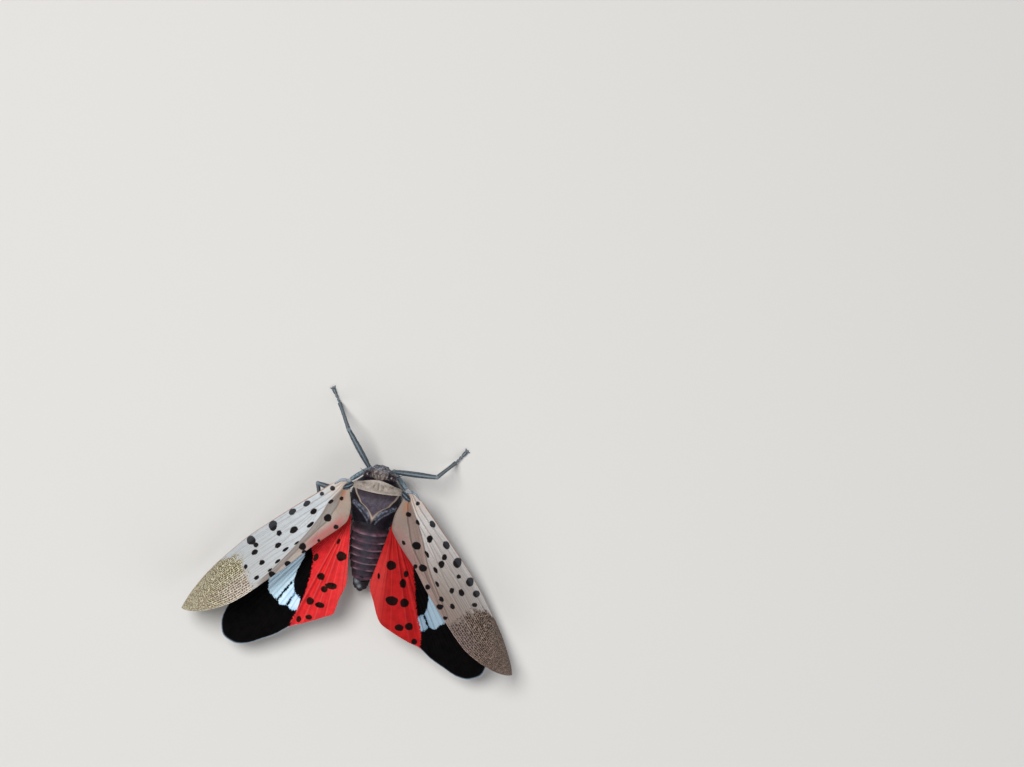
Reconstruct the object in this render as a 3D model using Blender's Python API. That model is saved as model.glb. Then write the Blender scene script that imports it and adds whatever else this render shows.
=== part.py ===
# A spotted lanternfly, life-size, standing with both pairs of wings half open.
# The head points to -Y, the animal's left is +X, and the floor that it stands on is z = 0.
# Sizes and places are in millimetres, measured from the middle of its back, and MM makes them metres.
import math

import bmesh
import bpy
from mathutils import Matrix, Vector

MM = 0.001
# The middle of the whole reach of legs and wings, which is the origin of the model
REACH_MIDDLE = Vector((0.33, 2.81, 0.0))
# The clear space between two parts that meet, and the size under which an edge is dropped after a cut
GAP = 0.25
SLIVER = 0.002
SIDES = ("left", "right")
BODY_SIDES = 28
LEG_SIDES = 8

# Forewing, along its own axis from the shoulder to the tip
FOREWING_LENGTH = 22.0
FOREWING_THICKNESS = 0.5
FOREWING_SHOULDER = (3.1, -1.55, 5.3)
FOREWING_TIP_HEIGHT = 3.8
# The angle from straight back to the wing's axis, in degrees, as the pose holds each side
FOREWING_SPREAD = {"left": 42.6, "right": 40.8}
# True width in front of and behind the axis at distances along it
FOREWING_FRONT = {
    "left": (
        (-0.5, 0.55), (0.0, 0.7), (1.2, 1.15), (4.0, 1.65), (8.0, 2.45), (13.0, 3.3), (17.0, 3.4), (22.0, 3.4),
    ),
    "right": (
        (-0.5, 0.55), (0.0, 0.7), (1.2, 1.1), (4.0, 1.52), (8.0, 2.12), (11.0, 2.6), (13.0, 2.72), (15.5, 2.68),
        (18.5, 2.65), (22.0, 3.0),
    ),
}
FOREWING_REAR = (
    (-0.5, 0.3), (0.0, 0.42), (1.2, 2.3), (2.6, 3.6), (5.0, 4.0), (6.5, 4.12), (9.5, 4.72), (12.5, 5.15),
    (16.5, 5.55), (18.5, 5.3), (22.0, 4.9),
)
# Where the tip's rounding starts
FOREWING_TIP_FROM = 14.5
# How far the blade leans, leading edge down, at distances along it, in degrees
FOREWING_LEAN = ((-1.0, 14.0), (1.0, 22.0), (3.0, 33.0), (6.0, 43.0), (10.0, 51.0), (15.0, 58.5), (22.0, 68.0))
# How far its middle stands up from a flat blade, as a share of its width
FOREWING_CAMBER = 0.06
# Main veins, as shares of the width from the leading edge at distances along the wing
FOREWING_VEINS = {
    "radius": ((-1.0, 0.20), (4.0, 0.17), (12.0, 0.18), (22.0, 0.24)),
    "media": ((-1.0, 0.29), (4.0, 0.32), (12.0, 0.42), (22.0, 0.48)),
    "cubitus": ((-1.0, 0.38), (4.0, 0.43), (8.0, 0.56), (12.0, 0.66), (22.0, 0.72)),
    "claval_suture": (
        (-1.0, 0.46), (1.0, 0.465), (4.25, 0.555), (7.3, 0.752), (10.0, 0.845), (12.5, 0.91), (14.0, 0.945),
        (22.0, 0.95),
    ),
}
# How far along the wing the claval suture reaches the trailing edge
SUTURE_END = 13.5
VEIN_HEIGHT = 0.16
VEIN_HALF_WIDTH = 0.2

# Hindwing, a fan of rays from its root
HINDWING_THICKNESS = 0.5
HINDWING_ROOT = (2.25, 1.35, 5.0)
HINDWING_START = 0.9
# How far each side's fan is turned outwards, in degrees
HINDWING_TURN = {"left": 0.0, "right": 4.4}
# The veins' angles from straight back on each side, in degrees, inner margin first
OUTER_RAYS = (21.3, 24.3, 27.0, 29.8, 32.0, 34.2, 36.4, 38.5, 40.5, 42.5, 45.5)
HINDWING_RAYS = {
    "left": (-7.0, -3.5, -0.5, 4.4, 8.6, 13.4, 18.2) + OUTER_RAYS,
    "right": (-14.5, -8.0, -3.5, -0.8, 5.0, 13.7, 18.0) + OUTER_RAYS,
}
# The veins' reach from the root at those angles
OUTER_REACH = (
    (21.5, 15.2), (25.0, 16.5), (28.4, 17.9), (31.7, 18.7), (35.1, 18.9),
    (39.2, 18.1), (41.2, 17.2), (43.0, 15.9), (45.5, 12.8),
)
HINDWING_REACH = {
    "left": (
        (-7.0, 7.1), (-6.4, 7.6), (-2.5, 9.2), (-0.5, 10.8), (4.4, 11.4), (14.0, 12.9), (18.2, 13.8),
    ) + OUTER_REACH,
    "right": (
        (-14.5, 6.9), (-13.3, 7.4), (-8.0, 8.6), (-0.8, 10.9), (5.0, 11.7), (13.7, 13.0), (18.0, 13.8),
    ) + OUTER_REACH,
}
# Folds of the fan: how far the membrane stands up at each angle, as a share of the distance from the root
HINDWING_FOLDS = {
    "left": (
        (-7.0, 0.0), (-2.5, 0.03), (3.5, -0.01), (8.6, 0.035), (11.0, 0.0), (13.4, 0.03), (16.0, -0.01),
        (18.3, 0.035), (22.0, 0.0), (30.0, 0.01), (38.0, 0.0), (45.5, 0.0),
    ),
    "right": (
        (-14.5, -0.02), (-3.5, 0.035), (5.0, 0.0), (13.7, 0.03), (17.0, 0.0), (19.5, 0.03), (25.0, 0.0),
        (45.5, 0.0),
    ),
}
# Height over the root at distances from it, along the leading edge and along the inner margin
HINDWING_LEADING_RISE = ((0.0, 0.0), (5.0, 0.1), (9.0, -0.25), (14.0, -0.8), (19.0, -1.8))
HINDWING_INNER_RISE = ((0.0, 0.0), (4.0, 0.35), (8.0, 0.1), (13.0, -1.0), (19.0, -2.4))

# Body stations run back from the head: place, half width, top, bottom, and the bow of the section's sides
HEAD = (
    (-4.15, 0.6, 4.95, 3.9), (-4.05, 0.95, 5.35, 3.5), (-3.8, 1.16, 5.65, 3.2),
    (-3.4, 1.26, 5.85, 3.1), (-2.9, 1.34, 5.95, 3.1),
)
PRONOTUM = (
    (-2.6, 1.9, 6.1, 2.9, 0.14), (-2.35, 2.45, 6.35, 2.75, 0.045),
    (-1.8, 2.75, 6.5, 2.7, -0.015), (-1.25, 2.8, 6.5, 2.7, -0.062),
)
THORAX = (
    (-0.97, 2.6, 6.4, 2.7, -0.07), (-0.4, 2.72, 6.6, 2.55, -0.05), (0.4, 2.6, 6.55, 2.45, 0.0),
    (1.2, 2.3, 6.1, 2.5, 0.0), (1.85, 2.05, 5.7, 2.55, 0.0),
)
SCUTELLUM = (
    (-0.95, 2.35, 6.62), (-0.3, 1.75, 6.95), (0.3, 1.15, 6.95),
    (0.9, 0.65, 6.8), (1.4, 0.34, 6.65), (1.95, 0.12, 6.45),
)
# The two lobes of the back behind the scutellum
BACK_LOBE_PLACE = (1.3, 1.05, 5.7)
BACK_LOBE_SIZE = (0.95, 0.7, 0.55)
# Where the abdomen starts, and the hind edge of each of its rings
ABDOMEN_EDGES = (2.12, 3.4, 4.25, 5.05, 5.8, 6.5, 7.2, 8.1)
ABDOMEN_HALF_WIDTH = ((2.1, 1.95), (3.6, 2.08), (5.2, 1.95), (6.6, 1.6), (8.1, 1.02))
ABDOMEN_TOP = ((2.1, 5.7), (4.0, 5.25), (6.0, 4.6), (8.1, 3.75))
ABDOMEN_BOTTOM = ((2.1, 2.45), (4.0, 2.0), (6.0, 1.75), (8.1, 1.85))
SEGMENT_STEP = 0.93
RING_BOW = -0.035
TAIL = ((8.4, 0.85, 3.5, 1.95), (8.75, 0.72, 3.35, 1.95), (9.2, 0.5, 3.1, 2.05), (9.5, 0.25, 2.85, 2.3))
FACE_TOP = (0.0, -3.62, 4.6)
FACE_BOTTOM = (0.0, -3.25, 2.68)
FACE_RADII = (0.74, 0.78, 0.62, 0.4)

EYE_RADIUS = 0.5
EYE_PLACE = (1.3, -2.98, 4.98)
ANTENNA_ROOT = (1.0, -3.1, 4.1)
ANTENNA_KNOB = (1.48, -3.08, 3.95)
ANTENNA_TIP = (2.3, -3.45, 4.0)
ANTENNA_RADIUS = 0.26
BEAK_TOP = (0.0, -3.3, 2.6)
BEAK_BEND = (0.0, -2.5, 1.85)
BEAK_TIP = (0.0, 2.6, 1.6)
BEAK_RADIUS = 0.27
TEGULA_PLACE = (3.1, -1.5, 5.78)
TEGULA_SIZE = (0.46, 0.52, 0.34)
# The waxy plate that runs out from it along the wing's leading edge
WING_ROOT_START = (2.95, -1.86, 5.78)
WING_ROOT_END = (4.3, -1.74, 5.3)
WING_ROOT_RADII = (0.27, 0.3, 0.26, 0.2)

# Each leg's hip, the end of its coxa, its knee, ankle and toe
LEGS = {
    "foreleg_left": (
        (3.1, -2.02, 3.45), (1.35, -3.6, 2.95), (4.2, -7.2, 4.4), (5.9, -9.75, 0.5), (6.85, -11.1, 0.24),
    ),
    "foreleg_right": (
        (-3.1, -1.9, 3.45), (-1.3, -3.66, 2.95), (-5.9, -4.0, 4.8), (-7.5, -5.75, 0.5), (-8.4, -7.1, 0.24),
    ),
    "midleg_left": ((1.5, -0.2, 3.3), (2.55, -0.4, 2.95), (6.4, -1.0, 3.4), (5.6, 2.2, 0.5), (6.2, 3.6, 0.24)),
    "midleg_right": ((-1.5, -0.2, 3.3), (-2.5, 0.1, 2.95), (-6.1, 0.9, 3.2), (-7.7, 4.5, 0.5), (-8.2, 6.1, 0.24)),
    "hindleg_left": ((1.4, 1.3, 3.2), (2.3, 2.0, 2.9), (5.5, 4.6, 3.2), (6.8, 11.3, 0.5), (7.0, 13.0, 0.24)),
    "hindleg_right": (
        (-1.4, 1.3, 3.2), (-2.3, 2.0, 2.9), (-5.6, 4.4, 3.2), (-7.5, 10.9, 0.5), (-7.8, 12.6, 0.24),
    ),
}
# Radii along each part of a leg, from its upper end to its lower one
COXA_RADII = {
    "foreleg": (0.3, 0.34, 0.32, 0.29),
    "midleg": (0.42, 0.5, 0.42, 0.34),
    "hindleg": (0.42, 0.5, 0.42, 0.34),
}
FEMUR_RADII = (0.3, 0.36, 0.38, 0.34, 0.3)
TIBIA_RADII = (0.3, 0.29, 0.28, 0.3, 0.34)
TARSUS_RADII = (0.29, 0.27, 0.3, 0.26, 0.29, 0.25, 0.3, 0.27)
CLAW_LENGTH = 0.55
TIBIAL_SPINES = {"foreleg": 0, "midleg": 2, "hindleg": 4}
SPINE_LENGTH = 0.75
SPINE_RADIUS = 0.24


def value_at(stations, t):
    """The value at t on a smooth line through (t, value) pairs."""
    if t <= stations[0][0]:
        return stations[0][1]
    if t >= stations[-1][0]:
        return stations[-1][1]
    slopes = [(b[1] - a[1]) / (b[0] - a[0]) for a, b in zip(stations, stations[1:])]
    tangents = [slopes[0]]
    for before, after in zip(slopes, slopes[1:]):
        tangents.append(2 * before * after / (before + after) if before * after > 0 else 0.0)
    tangents.append(slopes[-1])
    for k, (a, b) in enumerate(zip(stations, stations[1:])):
        if t <= b[0]:
            break
    span = b[0] - a[0]
    x = (t - a[0]) / span
    start = (1 + 2 * x) * (1 - x) ** 2 * a[1] + x * (1 - x) ** 2 * span * tangents[k]
    return start + x * x * (3 - 2 * x) * b[1] + x * x * (x - 1) * span * tangents[k + 1]


def new_material(name, colour, roughness):
    material = bpy.data.materials.new(name)
    material.use_nodes = True
    shader = material.node_tree.nodes["Principled BSDF"]
    shader.inputs["Base Color"].default_value = (*colour, 1.0)
    shader.inputs["Roughness"].default_value = roughness
    shader.inputs["Metallic"].default_value = 0.0
    return material


def new_object(name, points, faces, material=None):
    """A mesh object from points in millimetres."""
    mesh = bpy.data.meshes.new(name)
    mesh.from_pydata([(p - REACH_MIDDLE) * MM for p in points], [], faces)
    mesh.update()
    obj = bpy.data.objects.new(name, mesh)
    bpy.context.scene.collection.objects.link(obj)
    if material:
        mesh.materials.append(material)
    return obj


def lofted(name, rings, material=None):
    """A closed skin over rings of equal counts of points, with a flat cap at each end."""
    count = len(rings[0])
    points = [p for ring in rings for p in ring]
    faces = [tuple(reversed(range(count)))]
    for r in range(len(rings) - 1):
        for i in range(count):
            j = (i + 1) % count
            faces.append((r * count + i, r * count + j, (r + 1) * count + j, (r + 1) * count + i))
    faces.append(tuple(range((len(rings) - 1) * count, len(rings) * count)))
    obj = new_object(name, points, faces, material)
    face_outwards(obj)
    return obj


def face_outwards(obj):
    bm = bmesh.new()
    bm.from_mesh(obj.data)
    bmesh.ops.recalc_face_normals(bm, faces=bm.faces)
    bm.to_mesh(obj.data)
    bm.free()


def body_ring(y, half_width, top, bottom, bow=0.0, widest=0.55, squareness=2.3):
    """One section across the body. bow moves its sides back, widest is the height of its widest place."""
    middle = bottom + (top - bottom) * widest
    ring = []
    for i in range(BODY_SIDES):
        angle = 2 * math.pi * i / BODY_SIDES
        c, s = math.cos(angle), math.sin(angle)
        x = half_width * math.copysign(abs(c) ** (2 / squareness), c)
        rise = (top - middle) if s > 0 else (middle - bottom)
        z = middle + rise * math.copysign(abs(s) ** (2 / squareness), s)
        ring.append(Vector((x, y + bow * x * x, z)))
    return ring


def rod(name, start, end, radii, sides=LEG_SIDES):
    """A straight rod with radii spread evenly along it, kept above the floor."""
    start, end = Vector(start), Vector(end)
    axis = (end - start).normalized()
    across = axis.cross(Vector((0, 0, 1)))
    across = across.normalized() if across.length > 0.05 else Vector((1, 0, 0))
    up = across.cross(axis)
    rings = []
    for k, radius in enumerate(radii):
        centre = start.lerp(end, k / (len(radii) - 1))
        ring = []
        for i in range(sides):
            angle = 2 * math.pi * (i + 0.5) / sides
            point = centre + across * (radius * math.cos(angle)) + up * (radius * math.sin(angle))
            point.z = max(point.z, 0.0)
            ring.append(point)
        rings.append(ring)
    return lofted(name, rings)


def spike(name, root, direction, length, radius, sides=5):
    """A cone with its root at root."""
    direction = Vector(direction).normalized()
    tip_radius = 0.05
    return rod(name, root, Vector(root) + direction * length, (radius, radius * 0.7, tip_radius), sides)


def ellipsoid(name, centre, radii, segments=14, rings=9, turn=0.0):
    mesh = bpy.data.meshes.new(name)
    bm = bmesh.new()
    place = (
        Matrix.Translation((Vector(centre) - REACH_MIDDLE) * MM)
        @ Matrix.Rotation(turn, 4, "Z")
        @ Matrix.Diagonal((*(Vector(radii) * MM), 1.0))
    )
    bmesh.ops.create_uvsphere(bm, u_segments=segments, v_segments=rings, radius=1.0, matrix=place)
    bm.to_mesh(mesh)
    bm.free()
    obj = bpy.data.objects.new(name, mesh)
    bpy.context.scene.collection.objects.link(obj)
    return obj


def apply_modifiers(obj):
    graph = bpy.context.evaluated_depsgraph_get()
    made = bpy.data.meshes.new_from_object(obj.evaluated_get(graph))
    obj.modifiers.clear()
    obj.data = made


def keep_largest(obj):
    """Leaves only the closed surface with the largest volume."""
    bm = bmesh.new()
    bm.from_mesh(obj.data)
    bm.faces.ensure_lookup_table()
    left, shells = set(bm.faces), []
    while left:
        shell, todo = set(), [left.pop()]
        while todo:
            face = todo.pop()
            shell.add(face)
            for edge in face.edges:
                for other in edge.link_faces:
                    if other in left:
                        left.remove(other)
                        todo.append(other)
        shells.append(shell)

    def volume(shell):
        total = 0.0
        for face in shell:
            a = face.verts[0].co
            for b, c in zip(face.verts[1:], face.verts[2:]):
                total += a.dot(b.co.cross(c.co)) / 6
        return total

    best = max(shells, key=volume)
    drop = [f for shell in shells if shell is not best for f in shell]
    bmesh.ops.delete(bm, geom=drop, context="FACES")
    bm.to_mesh(obj.data)
    bm.free()


def fused(name, pieces, material):
    """Joins closed pieces into one closed body with the first piece's place in the scene."""
    first, others = pieces[0], pieces[1:]
    if others:
        group = bpy.data.collections.new(name + "_pieces")
        for piece in others:
            group.objects.link(piece)
        join = first.modifiers.new("Join", "BOOLEAN")
        join.operation = "UNION"
        join.operand_type = "COLLECTION"
        join.collection = group
        join.solver = "EXACT"
        apply_modifiers(first)
        for piece in others:
            bpy.data.objects.remove(piece)
        bpy.data.collections.remove(group)
    keep_largest(first)
    first.name = name
    first.data.materials.clear()
    first.data.materials.append(material)
    return first


def grown(obj, distance):
    """A copy of obj with every face moved out by distance, for cutting what meets it."""
    copy = bpy.data.objects.new(obj.name + "_grown", obj.data.copy())
    bpy.context.scene.collection.objects.link(copy)
    bm = bmesh.new()
    bm.from_mesh(copy.data)
    bmesh.ops.recalc_face_normals(bm, faces=bm.faces)
    bm.normal_update()
    moves = [v.normal * distance * MM * min(v.calc_shell_factor(), 1.6) for v in bm.verts]
    for vertex, move in zip(bm.verts, moves):
        vertex.co += move
    bm.to_mesh(copy.data)
    bm.free()
    return copy


def drop_slivers(obj):
    """Closes up edges and faces that are too small to have a real shape."""
    bm = bmesh.new()
    bm.from_mesh(obj.data)
    bmesh.ops.dissolve_degenerate(bm, dist=SLIVER * MM, edges=bm.edges)
    bmesh.ops.triangulate(bm, faces=[face for face in bm.faces if len(face.verts) > 4])
    bm.to_mesh(obj.data)
    bm.free()


def cut_clear(obj, *neighbours):
    """Takes from obj what lies in its neighbours or within GAP of them."""
    # MANIFOLD is used here because EXACT loses the thin blades.
    for neighbour in neighbours:
        cutter = grown(neighbour, GAP)
        cut = obj.modifiers.new("Clearance", "BOOLEAN")
        cut.operation = "DIFFERENCE"
        cut.object = cutter
        cut.solver = "MANIFOLD"
        apply_modifiers(obj)
        bpy.data.objects.remove(cutter)
    keep_largest(obj)


def mirrored(point, side):
    return Vector((point[0] if side == "left" else -point[0], point[1], point[2]))


def forewing_half_widths(side, s):
    """True widths in front of and behind the axis, rounded off towards the tip."""
    share = max(0.0, (s - FOREWING_TIP_FROM) / (FOREWING_LENGTH - FOREWING_TIP_FROM))
    front = value_at(FOREWING_FRONT[side], s) * (1 - share**2.6) ** 0.75
    rear = value_at(FOREWING_REAR, s) * (1 - share**3.2) ** 0.75
    return front, rear


def forewing_axes(side, s):
    """Directions along the blade, across it towards the trailing edge, and up from it, before mirroring."""
    spread = math.radians(FOREWING_SPREAD[side])
    lean = math.radians(value_at(FOREWING_LEAN, s))
    outwards = Vector((math.sin(spread), math.cos(spread), 0))
    forwards = Vector((math.cos(spread), -math.sin(spread), 0))
    rearwards = -forwards * math.cos(lean) + Vector((0, 0, math.sin(lean)))
    upwards = forwards * math.sin(lean) + Vector((0, 0, math.cos(lean)))
    return outwards, rearwards, upwards


def forewing_point(side, s, f):
    """A point of the blade's middle: s along the axis, f across it from the leading edge to the trailing one."""
    outwards, rearwards, upwards = forewing_axes(side, s)
    front, rear = forewing_half_widths(side, s)
    width = front + rear
    bulge = FOREWING_CAMBER * width * 4 * f * (1 - f)
    droop = (FOREWING_TIP_HEIGHT - FOREWING_SHOULDER[2]) * (s / FOREWING_LENGTH)
    point = Vector(FOREWING_SHOULDER) + outwards * s + Vector((0, 0, droop))
    point += rearwards * (f * width - front) + upwards * bulge
    return mirrored(point, side)


def forewing_stations():
    """Distances along the blade, closer together round the tip."""
    straight = [-0.5, -0.1, 0.3, 0.8, 1.4, 2.1, 3.0, 4.0, 5.2, 6.4, 7.7, 9.0, 10.3, 11.6, 12.9]
    round_part = FOREWING_LENGTH - FOREWING_TIP_FROM
    steps = 11
    return straight + [
        FOREWING_TIP_FROM + round_part * math.sin(math.radians(87.0) * k / (steps - 1)) for k in range(steps)
    ]


def forewing_rows(side, s):
    """Places across the blade with the height of the vein there, from the leading edge to the trailing one."""
    width = sum(forewing_half_widths(side, s))
    half = min(VEIN_HALF_WIDTH / max(width, 0.1), 0.022)
    fade = min(1.0, max(0.0, (FOREWING_LENGTH - s) / 3.0))
    rows = [(0.0, 0.08 * fade), (0.08, 0.0)]
    veins = [value_at(line, s) for line in FOREWING_VEINS.values()]
    for k, place in enumerate(veins):
        height = VEIN_HEIGHT * fade
        if k == len(veins) - 1 and s > SUTURE_END:
            height = 0.0
        rows += [(place - half, 0.0), (place, height), (place + half, 0.0)]
        nearest = veins[k + 1] if k + 1 < len(veins) else 1.0
        if k < 3:
            rows.append(((place + nearest) / 2, 0.0))
    rows.append((1.0, 0.0))
    return rows


def hindwing_point(side, share, angle):
    """A point of the fan's middle: share of the ray's reach, and the ray's angle before the fan is turned."""
    reach = value_at(HINDWING_REACH[side], angle)
    distance = HINDWING_START + (reach - HINDWING_START) * share
    turned = math.radians(angle + HINDWING_TURN[side])
    rays = HINDWING_RAYS[side]
    across = (angle - rays[0]) / (rays[-1] - rays[0])
    leading = value_at(HINDWING_LEADING_RISE, distance)
    inner = value_at(HINDWING_INNER_RISE, distance)
    rise = inner + (leading - inner) * across
    rise += value_at(HINDWING_FOLDS[side], angle) * distance * (1 - 0.6 * share**3)
    root = Vector(HINDWING_ROOT)
    point = root + Vector((math.sin(turned) * distance, math.cos(turned) * distance, rise))
    return mirrored(point, side)


def sheet(name, grid, heights, ups, thickness, material):
    """A closed sheet over a grid of points of its middle, split into triangles alike on both faces."""
    # heights holds the veins' rise over the upper face, and ups each row's direction of thickness.
    rows, columns = len(grid), len(grid[0])
    upper, lower = [], []
    for i in range(rows):
        for j in range(columns):
            upper.append(grid[i][j] + ups[i] * (thickness / 2 + heights[i][j]))
            lower.append(grid[i][j] - ups[i] * (thickness / 2))
    count = rows * columns
    faces = []
    for i in range(rows - 1):
        for j in range(columns - 1):
            a, b = i * columns + j, i * columns + j + 1
            c, d = (i + 1) * columns + j + 1, (i + 1) * columns + j
            for triangle in ((a, b, c), (a, c, d)):
                faces.append(triangle)
                faces.append(tuple(count + v for v in reversed(triangle)))
    rim = [j for j in range(columns)]
    rim += [i * columns + columns - 1 for i in range(1, rows)]
    rim += [(rows - 1) * columns + j for j in range(columns - 2, -1, -1)]
    rim += [i * columns for i in range(rows - 2, 0, -1)]
    for a, b in zip(rim, rim[1:] + rim[:1]):
        faces.append((b, a, count + a))
        faces.append((b, count + a, count + b))
    obj = new_object(name, upper + lower, faces, material)
    face_outwards(obj)
    return obj


def make_forewing(side, material):
    grid, heights, ups = [], [], []
    for s in forewing_stations():
        rows = forewing_rows(side, s)
        grid.append([forewing_point(side, s, f) for f, _ in rows])
        heights.append([height for _, height in rows])
        ups.append(mirrored(forewing_axes(side, s)[2], side))
    return sheet("forewing_" + side, grid, heights, ups, FOREWING_THICKNESS, material)


def make_hindwing(side, material):
    """Rays alternate between veins, which stand up as ridges, and the membrane between them."""
    shares = [0.0, 0.07, 0.15, 0.24, 0.34, 0.45, 0.56, 0.67, 0.77, 0.86, 0.94, 1.0]
    rays = HINDWING_RAYS[side]
    angles = []
    for a, b in zip(rays, rays[1:]):
        angles += [a, (a + b) / 2]
    angles.append(rays[-1])
    grid, heights = [], []
    for share in shares:
        points, tops = [], []
        for k, angle in enumerate(angles):
            points.append(hindwing_point(side, share, angle))
            tops.append(VEIN_HEIGHT * 0.7 * (1 - share**4) if k % 2 == 0 else 0.0)
        grid.append(points)
        heights.append(tops)
    ups = [Vector((0, 0, 1))] * len(grid)
    return sheet("hindwing_" + side, grid, heights, ups, HINDWING_THICKNESS, material)


def make_leg(name, material):
    hip, thigh, knee, ankle, toe = (Vector(p) for p in LEGS[name])
    shin = (ankle - knee).normalized()
    foot = (toe - ankle).normalized()
    pair = name.split("_")[0]
    pieces = [
        rod("coxa", hip, thigh, COXA_RADII[pair]),
        rod("femur", thigh - (knee - thigh).normalized() * 0.25, knee, FEMUR_RADII),
        rod("tibia", knee - shin * 0.28, ankle + shin * 0.12, TIBIA_RADII),
        rod("tarsus", ankle - foot * 0.15, toe, TARSUS_RADII),
    ]
    aside = foot.cross(Vector((0, 0, 1))).normalized()
    for way in (-1, 1):
        pieces.append(spike("claw", toe - foot * 0.2, foot + aside * (0.5 * way), CLAW_LENGTH, 0.22))
    out = Vector((math.copysign(1.0, hip.x), 0.0, 0.35))
    out = (out - shin * out.dot(shin)).normalized()
    spines = TIBIAL_SPINES[pair]
    for k in range(spines):
        root = knee.lerp(ankle, 0.3 + 0.62 * (k + 0.5) / spines)
        pieces.append(spike("spine", root, out + shin * 0.55, SPINE_LENGTH, SPINE_RADIUS, 4))
    return fused(name, pieces, material)


def make_head(material):
    skull = lofted("skull", [body_ring(y, w, t, b, 0.1, 0.6, 2.2) for y, w, t, b in HEAD])
    face = rod("face", FACE_TOP, FACE_BOTTOM, FACE_RADII, 12)
    return fused("head", [skull, face], material)


def make_thorax(material):
    trunk = lofted("trunk", [body_ring(*station) for station in THORAX])
    shield = lofted("shield", [body_ring(y, w, top, top - 1.6, 0.0, 0.7, 3.0) for y, w, top in SCUTELLUM])
    lobes = [ellipsoid("back_lobe", mirrored(BACK_LOBE_PLACE, side), BACK_LOBE_SIZE) for side in SIDES]
    return fused("thorax", [trunk, shield] + lobes, material)


def abdomen_ring(y, scale):
    top, bottom = value_at(ABDOMEN_TOP, y), value_at(ABDOMEN_BOTTOM, y)
    middle = (top + bottom) / 2
    half = (top - bottom) / 2 * scale
    return body_ring(y, value_at(ABDOMEN_HALF_WIDTH, y) * scale, middle + half, middle - half, RING_BOW)


def make_abdomen(material):
    """Each ring of the abdomen flares to its hind edge, and the next one starts inside it."""
    rings = []
    for start, end in zip(ABDOMEN_EDGES, ABDOMEN_EDGES[1:]):
        length = end - start
        rings.append(abdomen_ring(start + 0.12 * length, SEGMENT_STEP))
        rings.append(abdomen_ring(start + 0.55 * length, SEGMENT_STEP + 0.05))
        rings.append(abdomen_ring(start + length, 1.0))
    return fused("abdomen", [lofted("abdomen_rings", rings)], material)


def make_tail(material):
    return fused("tail", [lofted("tail_rings", [body_ring(*station) for station in TAIL])], material)


def make_antenna(side, head, material):
    knob = ellipsoid("knob", mirrored(ANTENNA_KNOB, side), (ANTENNA_RADIUS * 1.25, ANTENNA_RADIUS, ANTENNA_RADIUS))
    stem = rod("stem", mirrored(ANTENNA_ROOT, side), mirrored(ANTENNA_KNOB, side), (0.26, 0.25, 0.25))
    bristle = rod("bristle", mirrored(ANTENNA_KNOB, side), mirrored(ANTENNA_TIP, side), (0.22, 0.14, 0.05), 6)
    antenna = fused("antenna_" + side, [knob, stem, bristle], material)
    cut_clear(antenna, head)
    return antenna


def make_beak(head, material):
    upper = rod("beak_top", BEAK_TOP, BEAK_BEND, (BEAK_RADIUS * 1.1, BEAK_RADIUS))
    lower = rod("beak_shaft", Vector(BEAK_BEND) + Vector((0, -0.2, 0.05)), BEAK_TIP, (BEAK_RADIUS,) * 3 + (0.12,))
    beak = fused("beak", [upper, lower], material)
    cut_clear(beak, head)
    return beak


def main():
    for obj in list(bpy.data.objects):
        bpy.data.objects.remove(obj)
    chitin = new_material("dark_chitin", (0.09, 0.075, 0.085), 0.5)
    collar = new_material("tan_collar", (0.42, 0.34, 0.28), 0.6)
    wax = new_material("grey_wax", (0.24, 0.29, 0.33), 0.65)
    plum = new_material("plum_rings", (0.13, 0.07, 0.09), 0.5)
    grey_wing = new_material("grey_wing", (0.62, 0.56, 0.52), 0.55)
    red_wing = new_material("red_wing", (0.68, 0.04, 0.035), 0.5)
    eye = new_material("eye", (0.06, 0.03, 0.03), 0.2)
    orange = new_material("orange_knob", (0.6, 0.16, 0.06), 0.4)

    head = make_head(chitin)
    pronotum = fused("pronotum", [lofted("collar_rings", [body_ring(*station) for station in PRONOTUM])], collar)
    thorax = make_thorax(chitin)
    abdomen = make_abdomen(plum)
    cut_clear(abdomen, thorax)
    tail = make_tail(plum)
    cut_clear(tail, abdomen)
    cut_clear(head, pronotum)
    make_beak(head, chitin)
    for side in SIDES:
        ball = ellipsoid("ball", mirrored(EYE_PLACE, side), (EYE_RADIUS, EYE_RADIUS, EYE_RADIUS * 1.15))
        cut_clear(fused("eye_" + side, [ball], eye), head)
        make_antenna(side, head, orange)
        cap = ellipsoid("cap", mirrored(TEGULA_PLACE, side), TEGULA_SIZE)
        plate = rod("plate", mirrored(WING_ROOT_START, side), mirrored(WING_ROOT_END, side), WING_ROOT_RADII)
        tegula = fused("tegula_" + side, [cap, plate], wax)
        cut_clear(tegula, thorax, pronotum)
        forewing = make_forewing(side, grey_wing)
        cut_clear(forewing, thorax, pronotum, tegula)
        drop_slivers(forewing)
        hindwing = make_hindwing(side, red_wing)
        cut_clear(hindwing, thorax, abdomen)
    for name in LEGS:
        cut_clear(make_leg(name, wax), thorax, pronotum, head)


main()
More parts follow.
